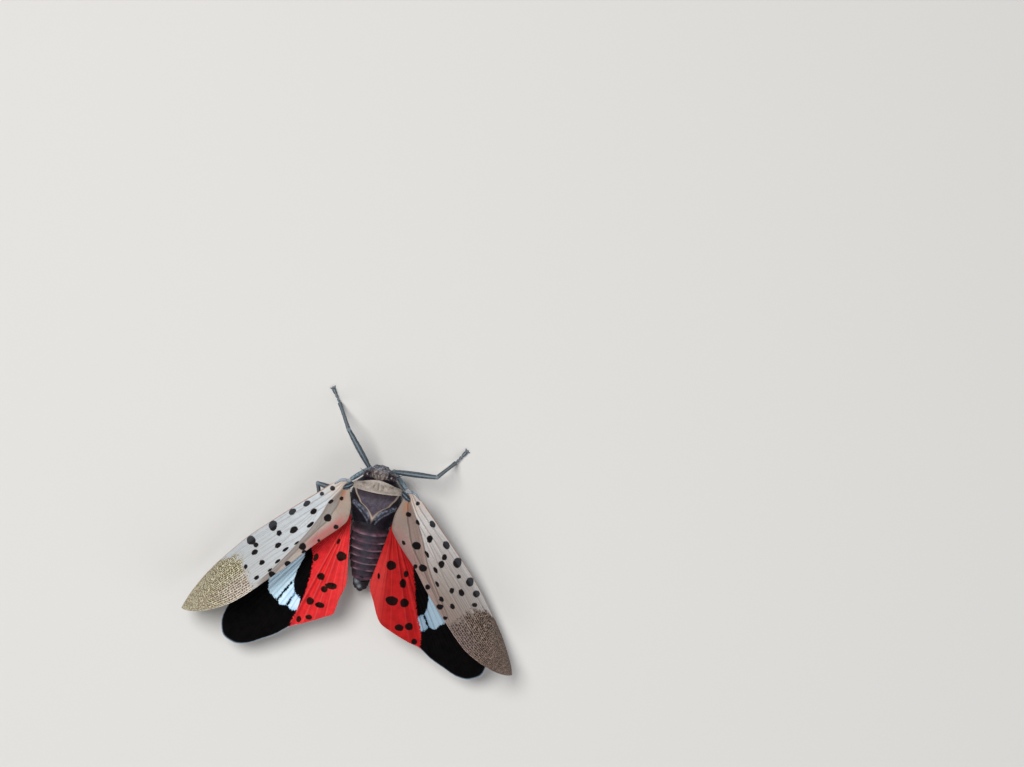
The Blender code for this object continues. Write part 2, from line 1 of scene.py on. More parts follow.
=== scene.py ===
import math
import bpy
import numpy as np
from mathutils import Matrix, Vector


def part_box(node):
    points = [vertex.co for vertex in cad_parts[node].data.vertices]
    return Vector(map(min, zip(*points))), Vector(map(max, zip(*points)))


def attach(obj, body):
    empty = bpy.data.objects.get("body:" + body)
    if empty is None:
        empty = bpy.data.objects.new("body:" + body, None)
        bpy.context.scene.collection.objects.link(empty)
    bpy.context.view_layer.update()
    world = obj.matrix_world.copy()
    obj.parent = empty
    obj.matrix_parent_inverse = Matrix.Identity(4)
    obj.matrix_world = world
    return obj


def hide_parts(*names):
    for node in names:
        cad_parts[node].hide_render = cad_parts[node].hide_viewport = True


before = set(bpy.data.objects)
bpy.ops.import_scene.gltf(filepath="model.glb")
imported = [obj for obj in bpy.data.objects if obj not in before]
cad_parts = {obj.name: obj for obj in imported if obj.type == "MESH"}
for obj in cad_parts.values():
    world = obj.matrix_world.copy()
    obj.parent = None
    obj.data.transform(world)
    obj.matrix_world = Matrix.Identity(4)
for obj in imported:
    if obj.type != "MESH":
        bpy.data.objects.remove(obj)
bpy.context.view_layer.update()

mm = 0.001
sides = ("left", "right")
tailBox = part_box("tail")
tailEnd = 9.5  # mm from the middle of the back to the end of the tail
backX = (tailBox[0][0] + tailBox[1][0]) / 2 / mm
planCentre = np.array((backX, tailBox[1][1] / mm - tailEnd, 0.0))  # the middle of the back, in the frame

camera = {
    "lens": 100.0,
    "sensor": 36.0,
    "distance": 299.4,  # mm from the level below, which makes the photograph's scale
    "level": 5.0,  # mm over the floor, about the height of the wings
    "aim": (-11.8, -15.2),  # mm on the plan, where the photograph's middle falls
    "roll": 10.8,  # degrees
}
studio = {
    "floorColour": (0.60, 0.59, 0.575),
    "floorSize": 1.6,
    "key": {"place": (0.13, -0.09, 0.40), "size": 0.22, "watts": 1.75, "colour": (1.0, 0.99, 0.97)},
    "fill": {"place": (-0.30, 0.12, 0.26), "size": 0.34, "watts": 0.42, "colour": (0.93, 0.96, 1.0)},
    "rim": {"place": (0.05, 0.32, 0.26), "size": 0.24, "watts": 0.42, "colour": (1.0, 0.98, 0.95)},
    "sky": 0.16,
    "skyColour": (0.93, 0.95, 1.0, 1.0),
    "viewTransform": "Standard",
}


# Tools for lines, grids and paint. Pieces are shaped in millimetres on the plan and settled at the end.
def along(stations, t):  # the value at t on a smooth line through (t, value) pairs, level past its ends
    ts, vs = np.array(stations, float).T
    slope = np.diff(vs) / np.diff(ts)
    product = slope[:-1] * slope[1:]
    total = np.where(product > 0, slope[:-1] + slope[1:], 1.0)
    tangent = np.concatenate(([slope[0]], np.where(product > 0, 2 * product / total, 0.0), [slope[-1]]))
    t = np.clip(t, ts[0], ts[-1])
    k = np.clip(np.searchsorted(ts, t) - 1, 0, len(ts) - 2)
    span = ts[k + 1] - ts[k]
    x = (t - ts[k]) / span
    start = (1 + 2 * x) * (1 - x) ** 2 * vs[k] + x * (1 - x) ** 2 * span * tangent[k]
    return start + x * x * (3 - 2 * x) * vs[k + 1] + x * x * (x - 1) * span * tangent[k + 1]


def step(low, high, value):  # 0 below low, 1 above high, smooth between
    x = np.clip((value - low) / (high - low), 0.0, 1.0)
    return x * x * (3 - 2 * x)


def ridge(distance, width):  # 1 on a line, falling off over width
    return np.exp(-(distance / width) ** 2)


def scatter(number):  # a fixed pseudo-random value from 0 to 1 for each number
    return np.abs(np.sin(number * 12.9898 + 4.1) * 43758.5453) % 1.0


def ripple(points, size, seed=0.0):  # smooth uneven waves of about 1 high, size in mm
    x, y, z = (points / size).T
    wave = np.sin(x * 2.1 + seed + 1.3 * np.sin(y * 1.7 + seed))
    wave = wave + np.sin(y * 2.3 - seed + 1.1 * np.sin(z * 1.9 + x * 0.7))
    return (wave + np.sin(z * 2.0 + 1.7 * seed + 1.2 * np.sin(x * 1.6 - y))) / 3


def lineGap(points, line):  # the distance on the plan from each point to a line through several places
    x, y = np.abs(points[:, 0]), points[:, 1]
    nearest = np.full(len(points), 9.0)
    for (x0, y0), (x1, y1) in zip(line, line[1:]):
        length = (x1 - x0) ** 2 + (y1 - y0) ** 2
        t = np.clip(((x - x0) * (x1 - x0) + (y - y0) * (y1 - y0)) / length, 0, 1)
        nearest = np.minimum(nearest, np.hypot(x - x0 - t * (x1 - x0), y - y0 - t * (y1 - y0)))
    return nearest


def mirrored(points, side):  # places on the left side, moved to the given side
    return np.array(points) * (1.0 if side == "left" else -1.0, 1.0, 1.0)


def only(piece):
    bpy.ops.object.select_all(action="DESELECT")
    piece.select_set(True)
    bpy.context.view_layer.objects.active = piece


def pointsOf(piece):
    flat = np.empty(len(piece.data.vertices) * 3)
    piece.data.vertices.foreach_get("co", flat)
    return flat.reshape(-1, 3)


def movePoints(piece, points):
    piece.data.vertices.foreach_set("co", points.astype(np.float32).ravel())
    piece.data.update()


def paint(piece, **marks):  # stores each mark's values as an attribute of the piece's points
    for name, values in marks.items():
        layer = piece.data.attributes.new(name, "FLOAT", "POINT")
        layer.data.foreach_set("value", np.asarray(values, np.float32))


def startGrid(name, columns, rows):  # a grid, with its columns and rows as shares from 0 to 1
    bpy.ops.object.select_all(action="DESELECT")
    bpy.ops.mesh.primitive_grid_add(x_subdivisions=columns, y_subdivisions=rows, size=2.0, location=(0, 0, 0))
    piece = bpy.context.active_object
    piece.name = name
    flat = pointsOf(piece)
    return piece, (flat[:, 0] + 1) / 2, (flat[:, 1] + 1) / 2


def applyModifier(piece, kind, **settings):
    only(piece)
    modifier = piece.modifiers.new(kind.title(), kind)
    for key, value in settings.items():
        setattr(modifier, key, value)
    bpy.ops.object.modifier_apply(modifier=modifier.name)


def editAll(piece, tool, **settings):  # uses a mesh tool on the whole piece
    only(piece)
    bpy.ops.object.mode_set(mode="EDIT")
    bpy.ops.mesh.select_all(action="SELECT")
    tool(**settings)
    bpy.ops.object.mode_set(mode="OBJECT")


def closeSeams(piece):  # welds the edges of a rolled-up grid and turns its faces outwards
    editAll(piece, bpy.ops.mesh.remove_doubles, threshold=0.0005)
    editAll(piece, bpy.ops.mesh.normals_make_consistent, inside=False)


def joined(pieces, name):
    bpy.ops.object.select_all(action="DESELECT")
    for piece in pieces:
        piece.select_set(True)
    bpy.context.view_layer.objects.active = pieces[0]
    bpy.ops.object.join()
    pieces[0].name = name
    return pieces[0]


def settle(piece, material, nodes=()):  # brings a piece to its place and size in the frame
    movePoints(piece, (pointsOf(piece) + planCentre) * mm)
    piece.data.materials.clear()
    piece.data.materials.append(material)
    only(piece)
    bpy.ops.object.shade_smooth()
    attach(piece, "root")
    if nodes:
        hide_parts(*nodes)
    return piece


def rolledTube(name, rows, around, ringAt):
    # A closed skin from ringAt(share along, angle), which gives its points and the marks to paint on them.
    piece, turn, run = startGrid(name, around, rows)
    points, marks = ringAt(run, turn * 2 * math.pi)
    movePoints(piece, points)
    paint(piece, **marks)
    closeSeams(piece)
    return piece


def unit(vectors):
    return vectors / np.linalg.norm(vectors, axis=-1, keepdims=True)


def pipe(name, centres, radii, rows=40, around=16, bulge=None):
    # A round skin with closed ends along a smooth line through centres. bulge(angle) scales its radius.
    lines = [tuple(zip(np.linspace(0, 1, len(centres)), axis)) for axis in np.array(centres, float).T]
    size = tuple(zip(np.linspace(0, 1, len(radii)), radii))

    def middleAt(run):
        return np.stack([along(line, run) for line in lines], 1)

    def ringAt(run, angle):
        axis = unit(middleAt(np.minimum(run + 0.01, 1.0)) - middleAt(np.maximum(run - 0.01, 0.0)))
        across = unit(np.cross(axis, (0.02, 0.03, 1.0)))
        up = np.cross(across, axis)
        start, end = np.clip(1 - run * rows / 2, 0, 1), np.clip((run - 1) * rows / 2 + 1, 0, 1)
        radius = along(size, run) * (1 - start**2) * (1 - end**2)
        if bulge:
            radius = radius * bulge(angle)
        outwards = across * np.cos(angle)[:, None] + up * np.sin(angle)[:, None]
        return middleAt(run) + outwards * radius[:, None], {"angle": angle}

    return rolledTube(name, rows, around, ringAt)


def ball(name, centre, radii, turn=(0, 0, 0), segments=32, rings=20):
    bpy.ops.object.select_all(action="DESELECT")
    bpy.ops.mesh.primitive_uv_sphere_add(segments=segments, ring_count=rings, location=centre, rotation=turn)
    piece = bpy.context.active_object
    piece.name = name
    piece.scale = radii
    bpy.ops.object.transform_apply(location=True, rotation=True, scale=True)
    return piece


def merged(pieces, name, voxel, smooths):  # melts overlapping pieces into one skin
    piece = joined(pieces, name)
    applyModifier(piece, "REMESH", mode="VOXEL", voxel_size=voxel, adaptivity=0.0)
    applyModifier(piece, "SMOOTH", factor=0.6, iterations=smooths)
    return piece


def seenFromAbove(points):  # where the camera sees each point, on the plan that the markings were measured on
    aim = np.array(camera["aim"])
    nearer = camera["distance"] / (camera["distance"] - (points[:, 2] - camera["level"]))
    return aim + (points[:, :2] - aim) * nearer[:, None]


# Tools for materials
def shade(colour, share):
    return tuple(min(1.0, channel * share) for channel in colour)


class surfaceLook:  # a material in the making
    def __init__(self, name, roughness, specular=0.5):
        self.material = bpy.data.materials.new(name)
        self.material.use_nodes = True
        self.tree = self.material.node_tree
        self.shader = self.tree.nodes["Principled BSDF"]
        self.shader.inputs["Roughness"].default_value = roughness
        self.shader.inputs["Specular IOR Level"].default_value = specular

    def plug(self, socket, value):
        if isinstance(value, bpy.types.NodeSocket):
            self.tree.links.new(value, socket)
        elif socket.type == "RGBA":
            socket.default_value = (*value[:3], 1.0)
        else:
            socket.default_value = value

    def node(self, kind, inputs, **settings):
        made = self.tree.nodes.new("ShaderNode" + kind)
        for key, value in settings.items():
            setattr(made, key, value)
        for key, value in inputs.items():
            self.plug(made.inputs[key], value)
        return made

    def mix(self, share, under, over):
        return self.node("Mix", {0: share, 6: under, 7: over}, data_type="RGBA").outputs[2]

    def shades(self, share, colour, low, high):  # a colour that varies between two shares of its brightness
        return self.mix(share, shade(colour, low), shade(colour, high))

    def math(self, a, b, way="MULTIPLY"):
        return self.node("Math", {0: a, 1: b}, operation=way).outputs[0]

    def plus(self, a, b):
        return self.math(a, b, "ADD")

    def ramp(self, value, low, high, kind="SMOOTHSTEP"):  # 0 at low, 1 at high
        settings = {"Value": value, "From Min": low, "From Max": high}
        return self.node("MapRange", settings, interpolation_type=kind).outputs["Result"]

    def near(self, order, low, high):  # 1 where an attribute is a whole number, 0 half way between two
        return self.ramp(self.math(order, 0.5, "PINGPONG"), high, low)

    def mark(self, name):  # an attribute that was painted on the piece
        return self.node("Attribute", {}, attribute_name=name).outputs["Fac"]

    def grain(self, size, detail=3.0, rough=0.5, low=0.35, high=0.65, kind="noise"):
        # Uneven texture of the given size in mm, spread to the whole range from 0 to 1
        settings = {"Vector": self.node("TexCoord", {}).outputs["Object"], "Scale": 1 / (size * mm)}
        if kind == "cells":
            field = self.node("TexVoronoi", settings).outputs["Distance"]
        else:
            settings.update({"Detail": detail, "Roughness": rough})
            field = self.node("TexNoise", settings).outputs["Fac"]
        return self.ramp(field, low, high, "LINEAR")

    def coat(self, under, mask, tint, strength=1.0):  # lays a tint where a mask or a painted mark is 1
        share = self.mark(mask) if isinstance(mask, str) else mask
        return self.mix(share if strength == 1.0 else self.math(share, strength), under, tint)

    def finished(self, colour, height, distance, strength=0.5):  # with bumps of up to distance, in mm
        self.plug(self.shader.inputs["Base Color"], colour)
        bump = self.node("Bump", {"Height": height, "Distance": distance * mm, "Strength": strength})
        self.tree.links.new(bump.outputs["Normal"], self.shader.inputs["Normal"])
        return self.material


# The forewings. Pairs in their tables are a distance along the wing's axis, in mm, and the value there.
forewing = {
    "length": 22.0,
    "shoulder": (3.1, -1.55, 5.3),
    "tipHeight": 3.8,
    "start": -0.5,
    "spread": {"left": 42.6, "right": 40.8},  # degrees from straight back to the axis
    # How far the front and rear margins lie from the axis, in mm
    "front": {
        "left": (
            (-0.5, 0.5), (0.0, 0.7), (1.2, 1.15), (4.0, 1.65), (8.0, 2.45), (13.0, 3.3), (17.0, 3.4),
            (22.0, 3.4),
        ),
        "right": (
            (-0.5, 0.5), (0.0, 0.7), (1.2, 1.1), (4.0, 1.52), (8.0, 2.12), (11.0, 2.6), (13.0, 2.72),
            (15.5, 2.68), (18.5, 2.65), (22.0, 3.0),
        ),
    },
    "rear": (
        (-0.5, 0.25), (0.0, 0.42), (1.2, 2.3), (2.6, 3.6), (5.0, 4.0), (6.5, 4.12), (9.5, 4.72),
        (12.5, 5.15), (16.5, 5.55), (18.5, 5.3), (22.0, 4.9),
    ),
    "tipFrom": 14.5,  # from here on the margins round off towards the tip
    # The blade's steepness from front to rear, in degrees, and its camber as a share of its width
    "lean": ((-1.0, 14.0), (1.0, 22.0), (3.0, 33.0), (6.0, 43.0), (10.0, 51.0), (15.0, 58.5), (22.0, 68.0)),
    "camber": 0.06,
    # The main veins, the suture and the rear edge of the stripe behind it, as shares across the blade
    "radius": ((-1.0, 0.20), (4.0, 0.17), (12.0, 0.18), (22.0, 0.24)),
    "media": ((-1.0, 0.29), (4.0, 0.32), (12.0, 0.42), (22.0, 0.48)),
    "cubitus": ((-1.0, 0.38), (4.0, 0.43), (8.0, 0.56), (12.0, 0.66), (22.0, 0.72)),
    "suture": {
        "left": (
            (-1.0, 0.40), (0.8, 0.38), (1.6, 0.37), (2.6, 0.39), (4.0, 0.54), (5.0, 0.63), (6.0, 0.705),
            (7.0, 0.763), (9.0, 0.84), (11.0, 0.90), (12.5, 0.94), (14.0, 0.97), (22.0, 0.975),
        ),
        "right": (
            (-1.0, 0.40), (0.8, 0.38), (1.6, 0.37), (2.6, 0.385), (4.0, 0.475), (5.5, 0.60), (7.3, 0.745),
            (10.0, 0.845), (12.5, 0.91), (14.5, 0.97), (22.0, 0.975),
        ),
    },
    "stripeRear": {
        "left": (
            (-1.0, 0.52), (1.6, 0.56), (2.8, 0.63), (4.2, 0.755), (5.0, 0.78), (6.0, 0.82), (7.0, 0.85),
            (8.0, 0.883), (10.0, 0.935), (12.5, 1.0), (22.0, 1.0),
        ),
        "right": (
            (-1.0, 0.52), (1.6, 0.56), (2.8, 0.63), (4.2, 0.76), (5.4, 0.828), (6.9, 0.87), (8.2, 0.886),
            (10.4, 0.918), (12.5, 0.96), (14.5, 1.0), (22.0, 1.0),
        ),
    },
    "veins": 24,
    "forks": (4.0, 7.5, 10.5),  # how far out the trunks split, and split again
    "netFrom": 13.9,
    "netCosta": 2.3,  # how much further out the net starts at the front margin
    "netPitch": 0.32,
    "membrane": 0.07,
    "veinHeight": 0.06,
    "netHeight": 0.035,
    "columns": 344,
    "rows": 134,
    "evenTo": 12.5,  # the grid's rows are evenly spaced up to here and close up towards the tip
    "brownEarly": {"left": 0.0, "right": 1.5},  # how much nearer to its root the wing turns brown
    # Spots on the plan, in mm: across, along, width, length
    "spots": {
        "left": (
            (4.67, -0.82, 0.5, 0.5), (5.66, -0.04, 0.42, 0.42), (4.6, 0.59, 0.27, 0.55),
            (3.55, 0.06, 0.39, 0.39), (7.02, 1.28, 0.51, 0.77), (6.15, 1.98, 0.51, 0.71),
            (8.34, 2.41, 0.56, 0.76), (4.6, 2.33, 0.77, 0.77), (3.55, 3.12, 0.51, 0.45),
            (6.24, 3.4, 0.34, 0.84), (10.08, 4.22, 0.8, 1), (7.85, 4.25, 0.58, 0.85),
            (9.31, 4.87, 0.51, 0.56), (5.06, 4.86, 0.3, 0.3), (7.3, 5.54, 0.23, 0.57),
            (6.65, 5.78, 0.72, 0.72), (9.18, 6.16, 0.47, 0.7), (6.33, 6.33, 0.55, 0.38),
            (12.04, 6.18, 0.85, 0.85), (11.48, 6.55, 0.48, 0.48), (8.33, 6.44, 0.29, 0.7),
            (11.45, 7.33, 0.48, 0.67), (8.91, 7.82, 0.26, 0.64), (7.8, 7.88, 0.65, 0.55),
            (10.5, 8.26, 0.42, 0.58), (9.53, 8.88, 0.26, 0.5), (9.22, 9.28, 0.65, 0.59),
            (12.12, 8.98, 0.36, 0.44), (10.75, 9.94, 0.39, 0.52),
        ),
        "right": (
            (-4.41, -0.93, 0.4, 0.4), (-3.7, 0.38, 0.59, 0.48), (-4.79, 1.04, 0.3, 0.6),
            (-6.33, 0.94, 0.52, 0.75), (-6.33, 2.53, 0.57, 0.74), (-8.17, 2.83, 0.61, 0.85),
            (-5.12, 3.46, 0.92, 0.75), (-3.73, 3.43, 0.3, 0.47), (-6.36, 4.15, 0.32, 0.76),
            (-8.24, 4.11, 0.49, 0.61), (-8.06, 4.9, 0.6, 0.71), (-9.66, 4.43, 0.8, 1),
            (-7.56, 5.62, 0.36, 0.66), (-6.23, 5.65, 0.84, 0.73), (-5.4, 5.65, 0.4, 0.45),
            (-10.06, 5.85, 0.43, 0.43), (-11.32, 6.17, 0.76, 0.9), (-8.01, 7.04, 0.31, 0.62),
            (-7.08, 7.54, 0.5, 0.5), (-9.63, 7.44, 0.47, 0.57), (-10.67, 7.45, 0.53, 0.69),
            (-12.23, 7.28, 0.68, 0.68), (-8.73, 8.52, 0.41, 0.59), (-12.29, 8.45, 0.51, 0.41),
            (-8.72, 9.34, 0.66, 0.54), (-10.02, 9.05, 0.43, 0.59), (-9.48, 10.4, 0.44, 0.35),
        ),
    },
    # Colours for each side. The right wing's darker browns, greys and net are painted shade: it lies turned
    # away from the light.
    "colours": {
        "left": {
            "membrane": (0.545, 0.585, 0.62), "distal": (0.50, 0.52, 0.535), "base": (0.56, 0.49, 0.435),
            "clavus": (0.42, 0.37, 0.34), "clavusBase": (0.35, 0.28, 0.235), "flush": (0.39, 0.14, 0.13),
            # stripe: painted shade of the fold behind the suture
            "stripe": (0.27, 0.25, 0.235), "line": (0.18, 0.13, 0.10),
            "cell": (0.11, 0.08, 0.035), "net": (0.95, 0.85, 0.62),
            "cellRear": (0.17, 0.125, 0.10), "netRear": (0.80, 0.72, 0.64), "tip": (0.33, 0.265, 0.195),
        },
        "right": {
            "membrane": (0.62, 0.59, 0.575), "distal": (0.30, 0.24, 0.21), "base": (0.55, 0.465, 0.41),
            "clavus": (0.33, 0.24, 0.215), "clavusBase": (0.26, 0.20, 0.17), "flush": (0.28, 0.165, 0.15),
            # stripe: painted shade of the fold behind the suture
            "stripe": (0.27, 0.20, 0.175), "line": (0.12, 0.08, 0.07),
            "cell": (0.035, 0.022, 0.016), "net": (0.46, 0.34, 0.275),
            "cellRear": (0.06, 0.04, 0.036), "netRear": (0.30, 0.225, 0.21), "tip": (0.15, 0.102, 0.08),
        },
    },
    "costa": (0.34, 0.13, 0.04),
    "amber": (0.36, 0.15, 0.075),
    "spot": (0.0050, 0.0036, 0.0040),
    "costalSpot": (0.030, 0.033, 0.042),
}


def spotDistance(plan, spots, slant):
    # How far each point lies outside the nearest dark spot's edge, in mm, negative inside it.
    # A long spot lies along the wing, whose direction from straight back is slant.
    nearest = np.full(len(plan), 0.3)
    for k, (x, y, width, length) in enumerate(spots):
        turn = math.radians(slant) * (1.0 if x > 0 else -1.0) if length > 1.3 * width else 0.0
        dx, dy = plan[:, 0] - x, plan[:, 1] - y
        u = (dx * math.cos(turn) - dy * math.sin(turn)) / (width / 2)
        v = (dx * math.sin(turn) + dy * math.cos(turn)) / (length / 2)
        angle = np.arctan2(v, u)
        edge = 1.10 + 0.035 * np.sin(3 * angle + 7 * scatter(k))
        edge += 0.02 * np.sin(5 * angle + 9 * scatter(k + 50))
        nearest = np.minimum(nearest, (np.hypot(u, v) - edge) * (width + length) / 4)
    return np.maximum(nearest, -0.3)


def forewingShape(side, s, f):
    # Points of the blade's middle at s mm along its axis and share f across it, with its upwards direction.
    spread = math.radians(forewing["spread"][side])
    lean = np.radians(along(forewing["lean"], s))
    outwards = np.array((math.sin(spread), math.cos(spread), 0.0))
    forwards = np.array((math.cos(spread), -math.sin(spread), 0.0))
    up = np.array((0.0, 0.0, 1.0))
    rearwards = up * np.sin(lean)[:, None] - forwards * np.cos(lean)[:, None]
    upwards = forwards * np.sin(lean)[:, None] + up * np.cos(lean)[:, None]
    share = np.clip((s - forewing["tipFrom"]) / (forewing["length"] - forewing["tipFrom"]), 0, 1)
    front = along(forewing["front"][side], s) * (1 - share**2.6) ** 0.75
    rear = along(forewing["rear"], s) * (1 - share**3.2) ** 0.75
    width = front + rear
    droop = (forewing["tipHeight"] - forewing["shoulder"][2]) * s / forewing["length"]
    points = np.array(forewing["shoulder"]) + outwards * s[:, None] + up * droop[:, None]
    points += rearwards * (f * width - front)[:, None]
    points += upwards * (forewing["camber"] * width * 4 * f * (1 - f))[:, None]
    return mirrored(points, side), mirrored(upwards, side), width


def forewingTrunks(side, s):  # the shares across the blade of the main veins and of the suture behind them
    stations = [forewing[key] for key in ("radius", "media", "cubitus")] + [forewing["suture"][side]]
    return [along(line, s) for line in stations]


def forewingLines(side, s):  # each long vein's share across the blade: trunks that fork on the way to the tip
    count = forewing["veins"]
    tips = (np.arange(count) + 0.5) / count
    first, second, third = (step(0.0, 2.6, s - fork) for fork in forewing["forks"])
    lines = []
    quarter = count // 4
    for k, stem in enumerate(forewingTrunks(side, s)):
        group = tips[k * quarter:(k + 1) * quarter]
        for i, own in enumerate(group):
            half = group[:quarter // 2].mean() if i < quarter // 2 else group[quarter // 2:].mean()
            pair = group[i - i % 2:i - i % 2 + 2].mean()
            lines.append(stem + first * (half - stem) + second * (pair - half) + third * (own - pair))
    return np.sort(np.array(lines), axis=0)


def makeForewing(side):
    piece, run, f = startGrid("forewing_" + side + "_blade", forewing["columns"], forewing["rows"])
    start, even, length = forewing["start"], forewing["evenTo"], forewing["length"]
    crowded = even + (length - even) * np.sin(math.radians(89) * (2 * run - 1).clip(0))
    s = np.where(run < 0.5, start + (even - start) * 2 * run, crowded)
    points, upwards, width = forewingShape(side, s, f)
    lines = forewingLines(side, s)
    strip = (lines < f).sum(0)
    edges = np.vstack((np.zeros(len(f)), lines, np.ones(len(f))))
    low, high = edges[strip, np.arange(len(f))], edges[strip + 1, np.arange(len(f))]
    order = strip + (f - low) / np.maximum(high - low, 1e-6)  # a whole number on each long vein
    gap = np.abs(lines - f).min(0) * width
    trunkGap = np.abs(np.array(forewingTrunks(side, s)) - f).min(0) * width
    suture, stripeRear = (along(forewing[key][side], s) for key in ("suture", "stripeRear"))
    stripe = np.minimum(f - suture, stripeRear - f) * width
    anal = np.abs(stripeRear - f) * width
    apexEdge = s - forewing["netFrom"] - forewing["netCosta"] * np.exp(-f / 0.12)
    apex = step(-0.3, 0.3, apexEdge)
    pitch = forewing["netPitch"] * (0.85 + 0.35 * scatter(strip))
    across = s / pitch + 7 * scatter(strip + 31) + 0.3 * np.sin(s * 5.1 + strip * 1.7)
    rung = np.abs(across - np.round(across)) * pitch
    # Raised veins, rims and folds
    net = np.maximum(ridge(gap, 0.062), ridge(rung, 0.055)) * apex
    fine = ridge(gap, 0.055) * (1 - apex)
    main = ridge(trunkGap, 0.085) * step(22.0, 15.0, s)
    main = np.maximum(main, ridge(anal, 0.07) * step(10.0, 6.0, s) * 0.8)
    costa = ridge(f * width, 0.16) * step(21.5, 17.0, s)
    hem = np.maximum(ridge((1 - f) * width, 0.07), ridge(length - s, 0.08))
    height = forewing["veinHeight"] * np.maximum(main, 0.55 * costa) + forewing["netHeight"] * net
    height += 0.02 * fine * (1 - main) + 0.03 * hem - 0.07 * step(0.05, 0.25, stripe) * step(12.0, 9.0, s)
    height += 0.035 * ripple(points, 1.6, 2.0) * step(0.0, 3.0, s)
    movePoints(piece, points + upwards * height[:, None])
    # Marks for the finish
    inner = step(14.2, 12.4, s)
    sutureLine = ridge((f - suture) * width, 0.05) * step(0.8, 2.4, s)
    midLine = ridge((f - (suture + stripeRear) / 2) * width, 0.035) * step(2.0, 4.0, s) * 0.6
    analLine = ridge(anal, 0.05) * step(1.0, 2.2, s)
    early = forewing["brownEarly"][side]
    browned = step(3.0 - early, 13.5 - early, s) * (0.35 + 0.9 * f) + 0.15 * f
    paint(
        piece,
        spotGap=spotDistance(seenFromAbove(points), forewing["spots"][side], forewing["spread"][side]),
        veinMain=main,
        veinOrder=order,
        rungOrder=across,
        apexEdge=np.clip(apexEdge, -3, 3),
        apexRear=step(0.5, 0.85, f) * step(19.5, 15.5, s),
        apexSoft=np.maximum(0.65 * step(0.9, 0.3, f * width), 0.35 * step(16.0, 20.5, s)),
        clavus=step(-0.05, 0.1, (f - suture) * width) * inner,
        # stripe: the fold behind the suture, painted grey as its shade
        stripe=step(-0.04, 0.08, stripe) * step(0.2, 1.2, s) * inner,
        claval=np.maximum.reduce((sutureLine, midLine, analLine)) * inner,
        flush=step(1.5, 0.4, (1 - f) * width) * step(1.6, 3.2, s) * step(8.5, 5.8, s),
        base=step(3.4, 0.8, s),
        near=step(4.4, 2.2, s),
        distal=np.clip(0.85 * browned, 0, 1) * step(0.07, 0.2, f),
        amber=ridge(np.hypot((s - 0.9) / 0.75, (f - 0.56) / 0.12), 1.0),
        costal=step(0.22, 0.1, f),
        costa=ridge(f * width - 0.02, 0.09) * step(1.2, 2.4, s) * step(20.5, 14.0, s),
    )
    applyModifier(piece, "SOLIDIFY", thickness=forewing["membrane"], offset=0.0)
    return settle(piece, forewingFinish(side), ("forewing_" + side,))


def forewingFinish(side):
    # The side's colours; the right wing's are darkened with painted shade
    hue = forewing["colours"][side]
    look = surfaceLook("forewingMembrane" + side.title(), 0.55, 0.12)
    mottle = look.grain(0.9, 5.0, 0.6)
    fleck = look.grain(0.09, 2.0, 0.6)
    waver = look.grain(0.35, 3.0, 0.6)
    # The powdery membrane, browner towards the tip and behind the suture
    colour = look.coat(look.shades(mottle, hue["membrane"], 0.93, 1.07), "distal", hue["distal"])
    clavus = look.coat(hue["clavus"], "near", hue["clavusBase"])
    clavus = look.coat(clavus, waver, shade(hue["clavusBase"], 0.85), 0.35)
    clavus = look.coat(clavus, "flush", hue["flush"])
    colour = look.coat(look.coat(colour, "base", hue["base"]), "clavus", clavus)
    # Painted shade of the fold behind the suture, darker towards the root
    band = look.coat(hue["stripe"], "base", shade(hue["stripe"], 0.75))
    colour = look.coat(colour, "stripe", band, 0.9)
    # Its long veins and cross veins
    inApex = look.ramp(look.mark("apexEdge"), -1.0, 0.6)
    drift = look.math(look.math(waver, 0.5, "SUBTRACT"), look.plus(look.math(inApex, 0.22), 0.1))
    order = look.plus(look.mark("veinOrder"), drift)
    rungs = look.plus(look.mark("rungOrder"), look.math(look.grain(0.5, 2.0), 0.5))
    colour = look.coat(colour, look.near(order, 0.03, 0.16), hue["line"], 0.36)
    colour = look.coat(colour, look.math(look.near(rungs, 0.02, 0.14), mottle), hue["line"], 0.16)
    colour = look.coat(colour, "veinMain", hue["line"], 0.22)
    colour = look.coat(colour, "claval", hue["line"], 0.75)
    colour = look.coat(colour, "amber", forewing["amber"], 0.75)
    # The close net of the outer third, with a ragged border
    net = look.math(look.near(order, 0.05, 0.17), look.math(look.near(rungs, 0.05, 0.17), 0.8), "MAXIMUM")
    cell = look.coat(look.shades(mottle, hue["cell"], 0.7, 1.4), "apexRear", hue["cellRear"])
    threads = look.shades(look.grain(0.3, 3.0, 0.6), hue["net"], 0.45, 1.15)
    threads = look.coat(threads, "apexRear", hue["netRear"], 0.8)
    tip = look.shades(net, hue["tip"], 0.75, 1.25)
    reticulate = look.coat(look.mix(net, cell, threads), "apexSoft", tip)
    ragged = look.plus(look.mark("apexEdge"), look.math(waver, 0.9))
    ragged = look.plus(ragged, look.math(look.grain(1.3, 2.0), 0.8))
    colour = look.coat(colour, look.ramp(ragged, 0.5, 1.3), reticulate)
    colour = look.coat(colour, "costa", forewing["costa"], 0.85)
    soft = look.plus(look.mark("spotGap"), look.math(look.math(fleck, 0.5, "SUBTRACT"), 0.05))
    spot = look.coat(forewing["spot"], "costal", forewing["costalSpot"])
    colour = look.coat(colour, look.ramp(soft, 0.035, -0.035), spot)
    return look.finished(colour, fleck, 0.012, 0.3)


